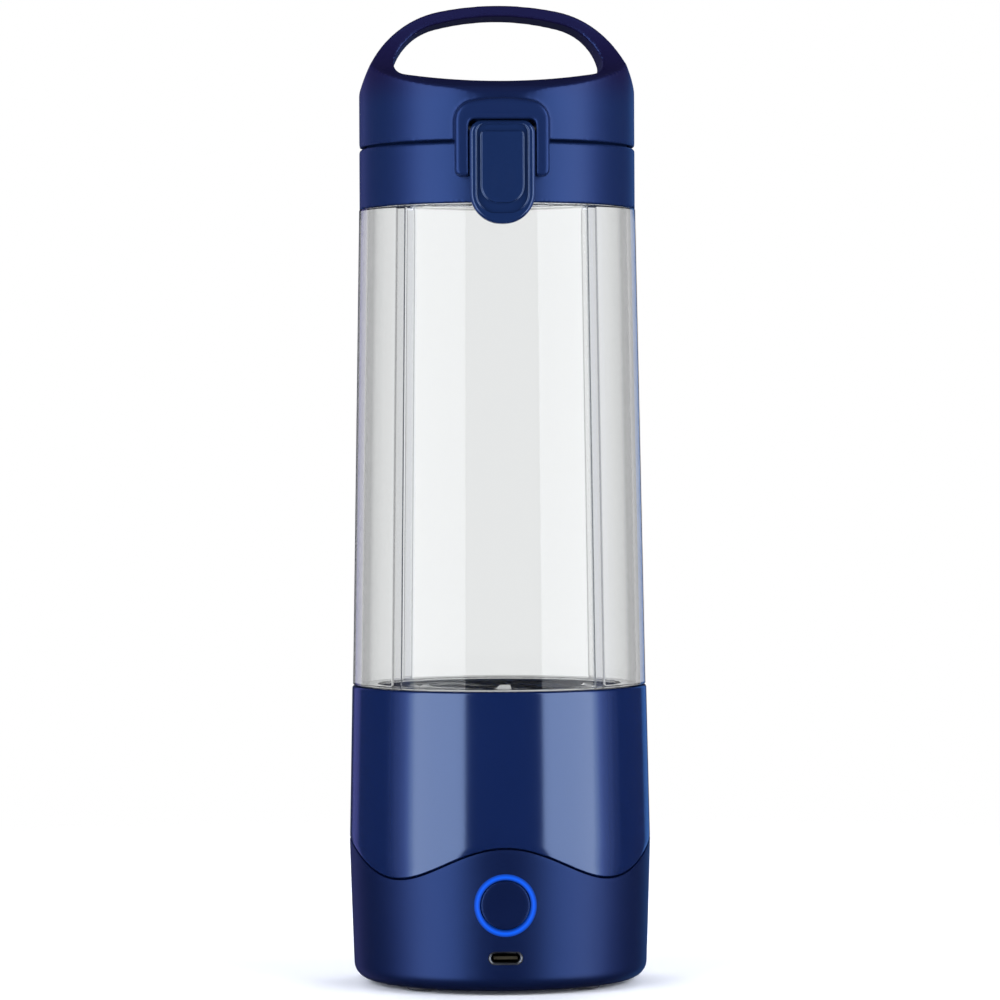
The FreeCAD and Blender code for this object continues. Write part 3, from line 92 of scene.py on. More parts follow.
class BaseSizes(bpy.types.PropertyGroup):
    """Form of the motor base's shell and grip sleeve."""
    belly_radius: length("Belly radius", SHELL_BOX[1].x, "Largest radius of the base")
    belly_height: length("Belly height", 41.5 * MM, "Height of the largest radius")
    foot_draw: length("Foot draw", 1.15 * MM, "How much narrower the base is at its foot")
    top_draw: length("Top draw", 0.9 * MM, "How much narrower the base is at its rim")
    edge_round: length("Lower rounding", 4.8 * MM, "Rounding of the lower edge")
    rim_round: length("Rim rounding", 0.8 * MM, "Rounding of the top rim")
    wave_height: length("Wave height", 37.3 * MM, "Mean height of the sleeve's wavy edge")
    wave_rise: length("Wave rise", 4.8 * MM, "Rise of the wave over and under its mean")
    waves: number("Waves", 4, "Crests of the wavy edge round the base")
    groove: length("Groove", 0.55 * MM, "Groove between sleeve and shell")
    sleeve: length("Sleeve", 1.4 * MM, "Thickness of the grip sleeve")
    chamber_radius: length("Chamber radius", 40.4 * MM, "Inside of the shell")
    deck_top: length("Deck", 69.5 * MM, "Floor of the cup socket")
    deck_thickness: length("Deck thickness", 3.0 * MM, "Plate under the cup socket")
    nose_radius: length("Nose bore", 5.05 * MM, "Bore for the motor's nose")
    hook_top: length("Lip", 4.6 * MM, "Top of the sleeve's lip under the shell")


# Tone of the cup's clear plastic for how far its face turns away: 0 face on, 1 edge on. The greying toward
# the edges is painted shade for the dark edges of the clear wall, partly standing in for absorption along its
# longer path there.
CUP_EDGE_PAINTED_SHADE = ((0.0, 0.90), (0.25, 0.90), (0.5, 0.77), (0.61, 0.64), (0.645, 0.53), (0.69, 0.37),
                 (0.8, 0.31), (1.0, 0.2))
# Painted shade across half a rib, in rib widths from its middle: dark strokes at the flanks and a grey strip
# between them stand for the dark lines that the ribs' refraction makes.
RIB_PAINTED_SHADE = ((0.0, 0.68), (0.36, 0.68), (0.42, 0.24), (0.54, 0.24), (0.63, 1.0))


class CupSizes(bpy.types.PropertyGroup):
    """Clear cup with its two necks and its inside ribs."""
    lower_radius: length("Lower radius", CUP_BOX[1].x, "Radius at the base")
    upper_radius: length("Upper radius", CUP_BOX[1].x - 2.4 * MM, "Radius at the collar")
    foot: length("Foot", 87.6 * MM, "Lower edge of the tapered wall")
    neck: length("Lower neck", 38.6 * MM, "Radius of the neck in the base")
    mouth: length("Upper neck", 36.9 * MM, "Radius of the neck in the collar")
    mouth_height: length("Mouth height", 12.85 * MM, "Height of the neck in the collar")
    wall: length("Wall", 2.6 * MM, "Wall of the cup and of its lower neck")
    mouth_wall: length("Mouth wall", 2.3 * MM, "Wall of the upper neck")
    shoulder: length("Shoulder", 0.3 * MM, "Height of the inside shoulders")
    shoulder_wall: length("Shoulder wall", 0.35 * MM, "Inside shoulders from the outer steps")
    edge: length("Edge rounding", 0.3 * MM, "Rounding of the outer edges")
    rib_count: number("Ribs", 4, "Upright ribs inside the cup")
    rib_turn: angle_size("Rib turn", -2.5, "Ribs from the corners, counterclockwise seen from above")
    rib_width: length("Rib width", 3.6 * MM, "Width of an inside rib")
    rib_depth: length("Rib depth", 0.5 * MM, "Depth of an inside rib")
    rib_flank: length("Rib flank", 0.6 * MM, "Width of a rib's rounded flank")
    starts: number("Thread starts", 4, "Thread ridges side by side on each neck")
    lower_lead: length("Lower lead", 24 * MM, "Rise of the cup in one turn in the base")
    upper_lead: length("Upper lead", 16 * MM, "Rise of the collar in one turn on the cup")
    thread_width: length("Thread width", 1.3 * MM, "Width of a thread ridge")
    thread_depth: length("Thread depth", 1.2 * MM, "Height of a thread ridge")


# Heights between which the lid's navy turns into the handle's painted shade, a darker navy that stands for
# the shade on the handle.
HANDLE_SHADE_HEIGHTS = (256 * MM, 268 * MM)


class Finishes(bpy.types.PropertyGroup):
    """Colours of the finishes."""
    shell: tint("Shell", (0.0026, 0.0072, 0.034), "Glossy navy of the base shell")
    sleeve: tint("Sleeve", (0.0016, 0.0038, 0.019), "Soft-touch navy of the grip")
    lid: tint("Lid", (0.0032, 0.0076, 0.030), "Satin navy of the lid's walls")
    # The handle's deeper navy is painted shade: the cap is one moulding of one navy, and its handle looks
    # darker for the darker room that it reflects.
    handle: tint("Handle", (0.0042, 0.0032, 0.018), "Deeper navy of the handle")
    latch: tint("Latch", (0.0036, 0.0095, 0.035), "Gloss navy of the latch lever")
    sheen: tint("Gloss tint", (0.46, 0.62, 1.0), "Tint of the reflections in the glossy shell")
    satin: tint("Satin tint", (0.17, 0.33, 1.0), "Tint of the soft reflections in satin mouldings")
    glow: tint("Glow", (0.0, 0.125, 1.0), "Light ring")
    steel: tint("Steel", (0.56, 0.57, 0.58), "Stainless steel of the blades")
    rubber: tint("Rubber", (0.018, 0.018, 0.022), "Feet")
    silicone: tint("Silicone", (0.20, 0.21, 0.23), "Seals and plug")


# ---------------------------------------------------------------- meshes

def mesh_object(name, points, faces):
    mesh = bpy.data.meshes.new(name)
    mesh.from_pydata(points, [], faces)
    mesh.validate()
    piece = bpy.data.objects.new(name, mesh)
    bpy.context.scene.collection.objects.link(piece)
    return piece


def shade(piece, angle):
    """Smooth shading, apart from edges sharper than the angle in degrees."""
    piece.data.shade_smooth()
    piece.data.set_sharp_from_angle(angle=math.radians(angle))


def make_plain(piece):
    """The evaluated mesh of a piece takes the place of its mesh and modifiers."""
    evaluated = piece.evaluated_get(bpy.context.evaluated_depsgraph_get())
    mesh = bpy.data.meshes.new_from_object(evaluated)
    piece.modifiers.clear()
    old = piece.data
    piece.data = mesh
    mesh.name = piece.name
    bpy.data.meshes.remove(old)


def weld(piece, near, outward=False):
    """Points closer than near become one; with outward, all faces then point away from the solid."""
    work = bmesh.new()
    work.from_mesh(piece.data)
    bmesh.ops.remove_doubles(work, verts=work.verts, dist=near)
    if outward:
        bmesh.ops.recalc_face_normals(work, faces=work.faces)
    work.to_mesh(piece.data)
    work.free()


def skin(name, rings, joined=False):
    """Closed surface through rings of points: joined end to start, or with a flat face at either end."""
    count = len(rings[0])
    faces = []
    for ring in range(len(rings) if joined else len(rings) - 1):
        here = ring * count
        there = (ring + 1) % len(rings) * count
        for step in range(count):
            after = (step + 1) % count
            faces.append((here + step, here + after, there + after, there + step))
    if not joined:
        last = (len(rings) - 1) * count
        faces += [tuple(range(count)), tuple(range(last, last + count))]
    piece = mesh_object(name, [point for ring in rings for point in ring], faces)
    weld(piece, 0.001 * MM, outward=True)
    return piece


def arc(centre, radius, start, end, steps):
    """Points of an arc in a radius-height section, angles in degrees."""
    turn = [math.radians(start + (end - start) * step / steps) for step in range(steps + 1)]
    return [(centre[0] + radius * math.cos(a), centre[1] + radius * math.sin(a)) for a in turn]


def straight(start, end, steps):
    """Points between two ends, without the last one."""
    return [(start[0] + (end[0] - start[0]) * step / steps, start[1] + (end[1] - start[1]) * step / steps)
            for step in range(steps)]


def even_angles(count):
    return [2 * math.pi * step / count for step in range(count)]


def turned(name, section, angles):
    """Closed surface whose section at an angle from the front is section(angle)."""
    rings = [[(r * math.sin(angle), -r * math.cos(angle), z) for r, z in section(angle)] for angle in angles]
    return skin(name, rings, joined=True)


def cut(piece, *cutters):
    for cutter in cutters:
        change = piece.modifiers.new("cut", "BOOLEAN")
        change.operation = "DIFFERENCE"
        change.solver = "EXACT"
        change.object = cutter
    make_plain(piece)
    for cutter in cutters:
        bpy.data.objects.remove(cutter)


def front_bar(name, outline, near, far):
    """Bar along Y through an outline of (x, z) points."""
    return skin(name, [[(x, y, z) for x, z in outline] for y in (near, far)])


def round_outline(height, radius, steps=96):
    return [(radius * math.sin(a), height + radius * math.cos(a)) for a in even_angles(steps)]


def slot_outline(height, width, rise, steps=16):
    """Outline with half-round ends."""
    half = width / 2 - rise / 2
    outline = []
    for side in (1, -1):
        for step in range(steps + 1):
            a = math.pi * step / steps
            outline.append((side * (half + rise / 2 * math.sin(a)), height + side * rise / 2 * math.cos(a)))
    return outline


def node_copy(node, name):
    """Merged copy of a CAD node's mesh."""
    piece = bpy.data.objects.new(name, frame["nodes"][node].data.copy())
    piece.data.name = name
    bpy.context.scene.collection.objects.link(piece)
    weld(piece, 0.002 * MM)
    return piece


def moulded(node, name, voxel, passes):
    """Copy of a CAD node with the soft edges of a moulding."""
    piece = node_copy(node, name)
    grid = piece.modifiers.new("grid", "REMESH")
    grid.mode = "VOXEL"
    grid.voxel_size = voxel
    soften = piece.modifiers.new("soften", "SMOOTH")
    soften.factor = 0.5
    soften.iterations = passes
    make_plain(piece)
    piece.data.shade_smooth()
    return piece


def true_wall(piece, radius, low, high, reach):
    """Points close to an upright round wall are set exactly on it."""
    for point in piece.data.vertices:
        x, y, z = point.co
        away = math.hypot(x, y)
        if low < z < high and abs(away - radius) < reach:
            point.co.x = x * radius / away
            point.co.y = y * radius / away


def true_level(piece, level, reach, low_radius, high_radius):
    """Points close to a level face between two radii are set exactly on it."""
    for point in piece.data.vertices:
        away = math.hypot(point.co.x, point.co.y)
        if abs(point.co.z - level) < reach and low_radius < away < high_radius:
            point.co.z = level


def clear_bore(piece, pin, play):
    """Points of a bore along X that lie too close to its pin are moved out."""
    middle = (pin[0] + pin[1]) / 2
    reach = (pin[1].z - pin[0].z) / 2 + play
    for point in piece.data.vertices:
        y, z = point.co.y - middle.y, point.co.z - middle.z
        away = math.hypot(y, z)
        if 0 < away < reach:
            point.co.y = middle.y + y * reach / away
            point.co.z = middle.z + z * reach / away


def dress(piece, material, body, slot, *nodes):
    """Finish of a piece, the body that it moves with, its slot, which is not used, and the CAD nodes that it
    stands for.
    """
    piece.data.materials.clear()
    piece.data.materials.append(material)
    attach(piece, body)
    if nodes:
        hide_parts(*nodes)


# ---------------------------------------------------------------- node trees

def feed(group, node, feeds):
    """Each input named in feeds gets its value, or a link from the output that feeds it."""
    for place, value in feeds.items():
        if isinstance(value, bpy.types.NodeSocket):
            group.links.new(value, node.inputs[place])
        else:
            node.inputs[place].default_value = value


def add(group, kind, feeds=None, **settings):
    """New node with its settings and its inputs fed."""
    node = group.nodes.new(kind)
    for setting, value in settings.items():
        setattr(node, setting, value)
    feed(group, node, feeds or {})
    return node


def new_tree(name, kind, inputs, outputs):
    """Node tree with named inputs and outputs, given as (title, kind of socket)."""
    group = bpy.data.node_groups.new(name, kind)
    for in_out, sockets in (("INPUT", inputs), ("OUTPUT", outputs)):
        for title, socket in sockets:
            group.interface.new_socket(title, in_out=in_out, socket_type="NodeSocket" + socket)
    return group, group.nodes.new("NodeGroupInput"), group.nodes.new("NodeGroupOutput")


def mesh_tree(name, *sizes):
    """Geometry node tree with a count and named sizes; a mesh and its material go in, a mesh comes out."""
    inputs = [("Geometry", "Geometry"), ("Count", "Int"), *((title, "Float") for title in sizes),
              ("Material", "Material")]
    return new_tree(name, "GeometryNodeTree", inputs, [("Geometry", "Geometry")])


def end_tree(group, entry, out, geometry):
    """Real geometry with its material at the end of a tree."""
    real = add(group, "GeometryNodeRealizeInstances", {"Geometry": geometry})
    coat = add(group, "GeometryNodeSetMaterial",
               {"Geometry": real.outputs["Geometry"], "Material": entry.outputs["Material"]})
    group.links.new(coat.outputs["Geometry"], out.inputs["Geometry"])


def reckon(group, operation, *values):
    """Result of a math node fed with numbers and other nodes' outputs."""
    return add(group, "ShaderNodeMath", dict(enumerate(values)), operation=operation).outputs[0]


def remap(group, value, start, end, first, last, kind="LINEAR"):
    """Change from first to last while the value goes from start to end."""
    feeds = {"Value": value, "From Min": start, "From Max": end, "To Min": first, "To Max": last}
    return add(group, "ShaderNodeMapRange", feeds, interpolation_type=kind).outputs["Result"]


def ease(group, value, start, end, first, last):
    """The same change with a soft start and end."""
    return remap(group, value, start, end, first, last, "SMOOTHSTEP")


def ridge_tree(name, upright):
    """Ridges that a wall carries all round: upright ribs, or the starts of a thread."""
    if name in bpy.data.node_groups:
        return bpy.data.node_groups[name]
    group, entry, out = mesh_tree(name, "Radius", "Lead", "Phase", "Width", "Flank", "Depth", "Low", "High",
                                  "Run")
    give = entry.outputs
    place = add(group, "GeometryNodeInputPosition")
    x, y, z = add(group, "ShaderNodeSeparateXYZ", {0: place.outputs[0]}).outputs
    turn = reckon(group, "SUBTRACT", reckon(group, "ARCTAN2", y, x), give["Phase"])
    if upright:
        along = reckon(group, "MULTIPLY", turn, give["Radius"])
        round_length = reckon(group, "MULTIPLY", give["Radius"], 2 * math.pi)
        pitch = reckon(group, "DIVIDE", round_length, give["Count"])
    else:
        climb = reckon(group, "MULTIPLY", reckon(group, "DIVIDE", turn, 2 * math.pi), give["Lead"])
        along = reckon(group, "SUBTRACT", z, climb)
        pitch = reckon(group, "DIVIDE", give["Lead"], give["Count"])
    half = reckon(group, "MULTIPLY", pitch, 0.5)
    off = reckon(group, "WRAP", along, half, reckon(group, "MULTIPLY", half, -1))
    away = reckon(group, "ABSOLUTE", off)
    middle = reckon(group, "MULTIPLY", give["Width"], 0.5)
    flank = reckon(group, "MULTIPLY", give["Flank"], 0.5)
    flank_start = reckon(group, "SUBTRACT", middle, flank)
    flank_end = reckon(group, "ADD", middle, flank)
    share = ease(group, away, flank_start, flank_end, 1, 0)
    rise = ease(group, z, give["Low"], reckon(group, "ADD", give["Low"], give["Run"]), 0, 1)
    fall = ease(group, z, reckon(group, "SUBTRACT", give["High"], give["Run"]), give["High"], 1, 0)
    wall = add(group, "GeometryNodeInputNamedAttribute", {"Name": "wall"})
    amount = give["Depth"]
    for factor in (share, rise, fall, wall.outputs["Attribute"]):
        amount = reckon(group, "MULTIPLY", amount, factor)
    flat = add(group, "ShaderNodeCombineXYZ", {0: x, 1: y})
    outside = add(group, "ShaderNodeVectorMath", {0: flat.outputs[0]}, operation="NORMALIZE")
    push = add(group, "ShaderNodeVectorMath", {0: outside.outputs[0], "Scale": amount}, operation="SCALE")
    move = add(group, "GeometryNodeSetPosition", {"Geometry": give["Geometry"], "Offset": push.outputs[0]})
    end_tree(group, entry, out, move.outputs["Geometry"])
    return group


def circle_tree():
    """Copies of a piece at even steps round the axis."""
    name = "circle_of_copies"
    if name in bpy.data.node_groups:
        return bpy.data.node_groups[name]
    group, entry, out = mesh_tree(name)
    count = entry.outputs["Count"]
    line = add(group, "GeometryNodeMeshLine", {"Count": count, "Offset": (0, 0, 0)})
    index = add(group, "GeometryNodeInputIndex")
    angle = reckon(group, "MULTIPLY", index.outputs[0], reckon(group, "DIVIDE", 2 * math.pi, count))
    turn = add(group, "ShaderNodeCombineXYZ", {2: angle})
    copies = add(group, "GeometryNodeInstanceOnPoints",
                 {"Points": line.outputs["Mesh"], "Instance": entry.outputs["Geometry"],
                  "Rotation": turn.outputs[0]})
    end_tree(group, entry, out, copies.outputs["Instances"])
    return group


def run_trees(piece, *runs):
    """Runs geometry node trees with their named sizes; the piece keeps the plain result."""
    for group, values in runs:
        change = piece.modifiers.new(group.name, "NODES")
        change.node_group = group
        for item in group.interface.items_tree:
            if item.item_type == "SOCKET" and item.in_out == "INPUT" and item.name in values:
                change[item.identifier] = values[item.name]
    make_plain(piece)


def mark_wall(piece, belongs):
    """Marks the points of a wall that carries ridges: belongs(radius, height)."""
    mark = piece.data.attributes.new("wall", "FLOAT", "POINT")
    for point, value in zip(piece.data.vertices, mark.data):
        value.value = float(belongs(math.hypot(point.co.x, point.co.y), point.co.z))


def thread(sizes, lead, phase, width, depth, low, high, material):
    """Tree and sizes for a thread's ridges; a negative depth points inwards."""
    return ridge_tree("thread_ridges", False), {
        "Count": sizes.starts, "Lead": lead, "Phase": phase, "Width": width, "Flank": 0.7 * MM,
        "Depth": depth, "Low": low, "High": high, "Run": 0.8 * MM, "Material": material}


# ---------------------------------------------------------------- finishes

def own_place(group):
    """Place on a piece, in the piece's own coordinates."""
    return add(group, "ShaderNodeTexCoord").outputs["Object"]


def noise(group, place, scale, detail=2):
    feeds = {"Vector": place, "Scale": scale, "Detail": detail}
    return add(group, "ShaderNodeTexNoise", feeds).outputs["Fac"]


def bump(group, height, strength, distance):
    feeds = {"Height": height, "Strength": strength, "Distance": distance}
    return add(group, "ShaderNodeBump", feeds).outputs["Normal"]


def plastic_group():
    """Moulded plastic: faint flow mottling in colour and gloss, and the fine grain of the mould."""
    name = "moulded_surface"
    if name in bpy.data.node_groups:
        return bpy.data.node_groups[name]
    group, entry, out = new_tree(
        name, "ShaderNodeTree",
        [("Color", "Color"), ("Roughness", "Float"), ("Mottle", "Float"), ("Grain Scale", "Float")],
        [("Color", "Color"), ("Roughness", "Float"), ("Height", "Float")])
    give = entry.outputs
    place = own_place(group)
    mottle = remap(group, noise(group, place, scale=28, detail=3), 0.3, 0.7, -0.5, 0.5)
    gain = reckon(group, "ADD", reckon(group, "MULTIPLY", mottle, give["Mottle"]), 1)
    colour = add(group, "ShaderNodeVectorMath", {0: give["Color"], "Scale": gain}, operation="SCALE")
    grain = noise(group, place, scale=give["Grain Scale"], detail=1)
    feed(group, out, {"Color": colour.outputs[0],
                      "Roughness": reckon(group, "MULTIPLY", give["Roughness"], gain),
                      "Height": reckon(group, "MULTIPLY", grain, 0.5)})
    return group


def plain_material(name):
    """New material with its node tree and its shader."""
    material = bpy.data.materials.new(name)
    material.use_nodes = True
    return material, material.node_tree, material.node_tree.nodes["Principled BSDF"]


def ramp(group, value, stops):
    """Colour of a value between stops of (position, colour)."""
    node = add(group, "ShaderNodeValToRGB", {"Fac": value})
    marks = node.color_ramp.elements
    for rank, (position, colour) in enumerate(stops):
        mark = marks[rank] if rank < 2 else marks.new(position)
        mark.position = position
        mark.color = (*colour, 1)
    return node.outputs["Color"]


def shade_by_height(group, lower, upper, start, end):
    """Colour that changes smoothly with the height on the piece; it paints the shade of the cap's handle."""
    split = add(group, "ShaderNodeSeparateXYZ", {0: own_place(group)})
    return ramp(group, ease(group, split.outputs["Z"], start, end, 0, 1), ((0, lower), (1, upper)))


def moulding(name, colour, roughness, mottle=0.06, grain_scale=2500, grain=0.02, sheen=(1, 1, 1), level=0.5,
             upper=None):
    """Moulded plastic; sheen tints its reflections, upper is the painted shade that it turns into above the
    handle's root.
    """
    material, group, shader = plain_material(name)
    # Above the handle's root the colour turns into the handle's painted shade.
    paint = shade_by_height(group, colour, upper, *HANDLE_SHADE_HEIGHTS) if upper else (*colour, 1)
    surface = add(group, "ShaderNodeGroup", {"Color": paint, "Roughness": roughness, "Mottle": mottle,
                                             "Grain Scale": grain_scale}, node_tree=plastic_group())
    feed(group, shader, {"Base Color": surface.outputs["Color"], "Roughness": surface.outputs["Roughness"],
                         "Normal": bump(group, surface.outputs["Height"], grain, distance=0.2 * MM),
                         "Specular IOR Level": level, "Specular Tint": (*sheen, 1)})
    return material


def metal(name, colour, roughness, brush_scale=(1, 1, 1)):
    """Metal with fine streaks; brush_scale stretches them."""
    material, group, shader = plain_material(name)
    streak = 0.25
    stretch = add(group, "ShaderNodeMapping", {"Vector": own_place(group), "Scale": brush_scale})
    brushed = noise(group, stretch.outputs["Vector"], scale=600, detail=4)
    rough = remap(group, brushed, 0, 1, roughness * (1 - streak), roughness * (1 + streak))
    feed(group, shader, {"Base Color": (*colour, 1), "Metallic": 1, "Roughness": rough,
                         "Normal": bump(group, brushed, strength=0.05, distance=0.1 * MM)})
    return material


def rib_painted_shade(group, place, sizes):
    """Painted shade of the cup's inside wall across its ribs, and where that wall is."""
    x, y, z = add(group, "ShaderNodeSeparateXYZ", {0: place}).outputs
    pitch = 2 * math.pi / sizes.rib_count
    turn = reckon(group, "SUBTRACT", reckon(group, "ARCTAN2", y, x), pitch / 2 + sizes.rib_turn)
    off = reckon(group, "ABSOLUTE", reckon(group, "WRAP", turn, pitch / 2, -pitch / 2))
    across = reckon(group, "DIVIDE", off, sizes.rib_width / sizes.lower_radius)
    # Painted shade: dark strokes along the rib flanks and a grey strip between them.
    tone = ramp(group, across, [(position, (grey, grey, grey)) for position, grey in RIB_PAINTED_SHADE])
    squares = [reckon(group, "MULTIPLY", part, part) for part in (x, y)]
    radius = reckon(group, "SQRT", reckon(group, "ADD", *squares))
    top = CUP_BOX[1].z - sizes.mouth_height
    taper = (sizes.lower_radius - sizes.upper_radius) / (top - sizes.foot)
    narrowing = reckon(group, "MULTIPLY", reckon(group, "SUBTRACT", z, sizes.foot), taper)
    middle = reckon(group, "SUBTRACT", sizes.lower_radius - sizes.wall / 2, narrowing)
    above = reckon(group, "GREATER_THAN", z, sizes.foot)
    below = reckon(group, "LESS_THAN", z, top)
    inside = reckon(group, "LESS_THAN", radius, middle)
    return tone, reckon(group, "MULTIPLY", inside, reckon(group, "MULTIPLY", above, below))


def clear_plastic(name):
    """Clear moulded plastic with painted shade: it greys where it is seen along its wall, and dark strokes
    are painted along its ribs.
    """
    material, group, shader = plain_material(name)
    # Painted shade: the clear wall greys toward its edges as it turns away from view.
    slant = add(group, "ShaderNodeLayerWeight", {"Blend": 0.5})
    red = 0.992
    rim = ramp(group, slant.outputs["Facing"],
               [(position, (grey * red, grey, grey)) for position, grey in CUP_EDGE_PAINTED_SHADE])
    place = own_place(group)
    # Painted shade along the inside ribs, laid over the edge greying.
    rib, ribbed = rib_painted_shade(group, place, bpy.context.scene.blender_cup)
    mixed = add(group, "ShaderNodeMix", data_type="RGBA", blend_type="MULTIPLY")
    feed(group, mixed, {"Factor": ribbed, "A": rim, "B": rib})
    rough = remap(group, noise(group, place, scale=60), 0, 1, 0.01, 0.04)
    feed(group, shader, {"Base Color": mixed.outputs["Result"], "Roughness": rough, "Transmission Weight": 1,
                         "IOR": 1.46, "Specular Tint": (0.3, 0.3, 0.3, 1)})
    return material


def glowing(name, colour):
    """Light guide whose glow is strongest along the middle of its band."""
    material, group, shader = plain_material(name)
    centre = add(group, "ShaderNodeMapping", {"Vector": own_place(group),
                                              "Location": (0, 0, -middle_height(RING_BOX))})
    flat = add(group, "ShaderNodeVectorMath", {0: centre.outputs["Vector"], 1: (1, 0, 1)},
               operation="MULTIPLY")
    away = add(group, "ShaderNodeVectorMath", {0: flat.outputs[0]}, operation="LENGTH")
    band = remap(group, away.outputs["Value"], GLOW_INNER, RING_BOX[1].x, 0, 1)
    inner, outer = ([part * share for part in colour] for share in (0.25, 0.3))
    glow = ramp(group, band, ((0.0, inner), (0.45, colour), (1.0, outer)))
    feed(group, shader, {"Emission Color": glow, "Emission Strength": 1, "Roughness": 0.5,
                         "Base Color": (0.0, 0.003, 0.03, 1), "Specular IOR Level": 0.1})
    return material


FINISH = {}


def finish(name):
    """Finish by name, made when it is first asked for."""
    if name not in FINISH:
        look = bpy.context.scene.blender_finishes
        makers = {
            "navy_gloss": lambda: moulding(name, look.shell, 0.14, sheen=look.sheen),
            "navy_grip": lambda: moulding(name, look.sleeve, 0.40, grain_scale=5000, grain=0.12,
                                          sheen=look.satin, level=0.36),
            "navy_button": lambda: moulding(name, look.sleeve, 0.34, grain_scale=5000, grain=0.05,
                                            sheen=look.satin, level=0.40),
            "latch_gloss": lambda: moulding(name, look.latch, 0.16, sheen=look.sheen),
            # The cap's satin takes the handle's painted shade above the handle's root.
            "navy_satin": lambda: moulding(name, look.lid, 0.36, grain_scale=4000, grain=0.05,
                                           sheen=look.satin, level=0.32, upper=look.handle),
            "foot_rubber": lambda: moulding(name, look.rubber, 0.7, grain_scale=3000, grain=0.2),
            "seal_rubber": lambda: moulding(name, look.silicone, 0.5, grain_scale=2000),
            "black_plastic": lambda: moulding(name, (0.012, 0.012, 0.014), 0.4),
            "board_green": lambda: moulding(name, (0.01, 0.10, 0.04), 0.35, mottle=0.3),
            "cell_wrap": lambda: moulding(name, (0.02, 0.16, 0.30), 0.25),
            "foam": lambda: moulding(name, (0.03, 0.03, 0.03), 0.9, grain_scale=1500, grain=0.6),
            "magnet": lambda: moulding(name, (0.03, 0.03, 0.03), 0.5, mottle=0.3),
            "blade_steel": lambda: metal(name, look.steel, 0.22, (1, 12, 1)),
            "screw_steel": lambda: metal(name, (0.42, 0.42, 0.43), 0.3),
            "motor_steel": lambda: metal(name, (0.5, 0.5, 0.5), 0.32, (1, 1, 0.1)),
            "bright_steel": lambda: metal(name, (0.09, 0.094, 0.102), 0.38),
            "socket_tongue": lambda: moulding(name, (0.016, 0.013, 0.006), 0.5, level=0.2),
            "bearing_bronze": lambda: metal(name, (0.45, 0.29, 0.13), 0.35),
            "blue_light": lambda: glowing(name, look.glow),
            "clear_cup": lambda: clear_plastic(name),
        }
        FINISH[name] = makers[name]()
    return FINISH[name]


# ---------------------------------------------------------------- motor base

def wave_level(sizes, angle):
    """Height of the wavy edge at an angle from the front."""
    return sizes.wave_height + sizes.wave_rise * math.cos(sizes.waves * angle)


def side_radius(sizes, z):
    """Outer radius of the base above its lower rounding."""
    if z < sizes.belly_height:
        fullness, power = 0.25, 1.6
        edge_top = SLEEVE_BOX[0].z + sizes.edge_round
        share = (z - edge_top) / (sizes.belly_height - edge_top)
        swell = 1 - (1 - share) ** power
        widening = min(share + fullness * (swell - share), 1)
        return sizes.belly_radius - sizes.foot_draw + sizes.foot_draw * widening
    share = (z - sizes.belly_height) / (SHELL_BOX[1].z - sizes.belly_height)
    return sizes.belly_radius - sizes.top_draw * share


def side_rows(sizes, low, high, count, inset=0.0):
    """Points of the base's outer side from one height to another, inset from it."""
    heights = [low + (high - low) * step / count for step in range(count + 1)]
    return [(side_radius(sizes, z) - inset, z) for z in heights]


def sleeve_section(sizes, angle):
    crest = wave_level(sizes, angle)
    lip = 0.12 * MM
    edge_top = SLEEVE_BOX[0].z + sizes.edge_round
    foot = sizes.belly_radius - sizes.foot_draw
    inner = foot - sizes.edge_round
    outer = side_radius(sizes, crest)
    outline = arc((inner, edge_top), sizes.edge_round, -90, 0, 10)[:-1]
    outline += side_rows(sizes, edge_top, crest - lip, 26)
    outline += arc((outer - lip, crest - lip), lip, 22.5, 90, 3)
    outline += [(outer - sizes.sleeve, crest)]
    outline += side_rows(sizes, crest - lip, edge_top, 8, sizes.sleeve)
    return outline + [(foot - sizes.sleeve, sizes.hook_top), (inner, sizes.hook_top)]


def shell_section(sizes, angle):
    crest = wave_level(sizes, angle)
    edge = crest + sizes.groove
    lip, bevel = 0.3 * MM, 0.4 * MM
    top = SHELL_BOX[1].z
    rim = sizes.belly_radius - sizes.top_draw
    foot = sizes.belly_radius - sizes.foot_draw - sizes.sleeve
    chamber, nose, deck = sizes.chamber_radius, sizes.nose_radius, sizes.deck_top
    outline = [(chamber, sizes.hook_top), (foot, sizes.hook_top)]
    outline += side_rows(sizes, SLEEVE_BOX[0].z + sizes.edge_round, crest, 8, sizes.sleeve)
    outline += arc((side_radius(sizes, edge) - lip, edge + lip), lip, -90, -22.5, 3)
    outline += side_rows(sizes, edge + lip, top - sizes.rim_round, 24)
    outline += arc((rim - sizes.rim_round, top - sizes.rim_round), sizes.rim_round, 15, 90, 5)
    outline += arc((chamber + bevel, top - bevel), bevel, 90, 180, 3)
    outline += straight((chamber, top - 2 * bevel), (chamber, deck), 6)
    outline += straight((chamber, deck), (nose, deck), 6)
    return outline + [(nose, deck), (nose, deck - sizes.deck_thickness),
                      (chamber, deck - sizes.deck_thickness)]


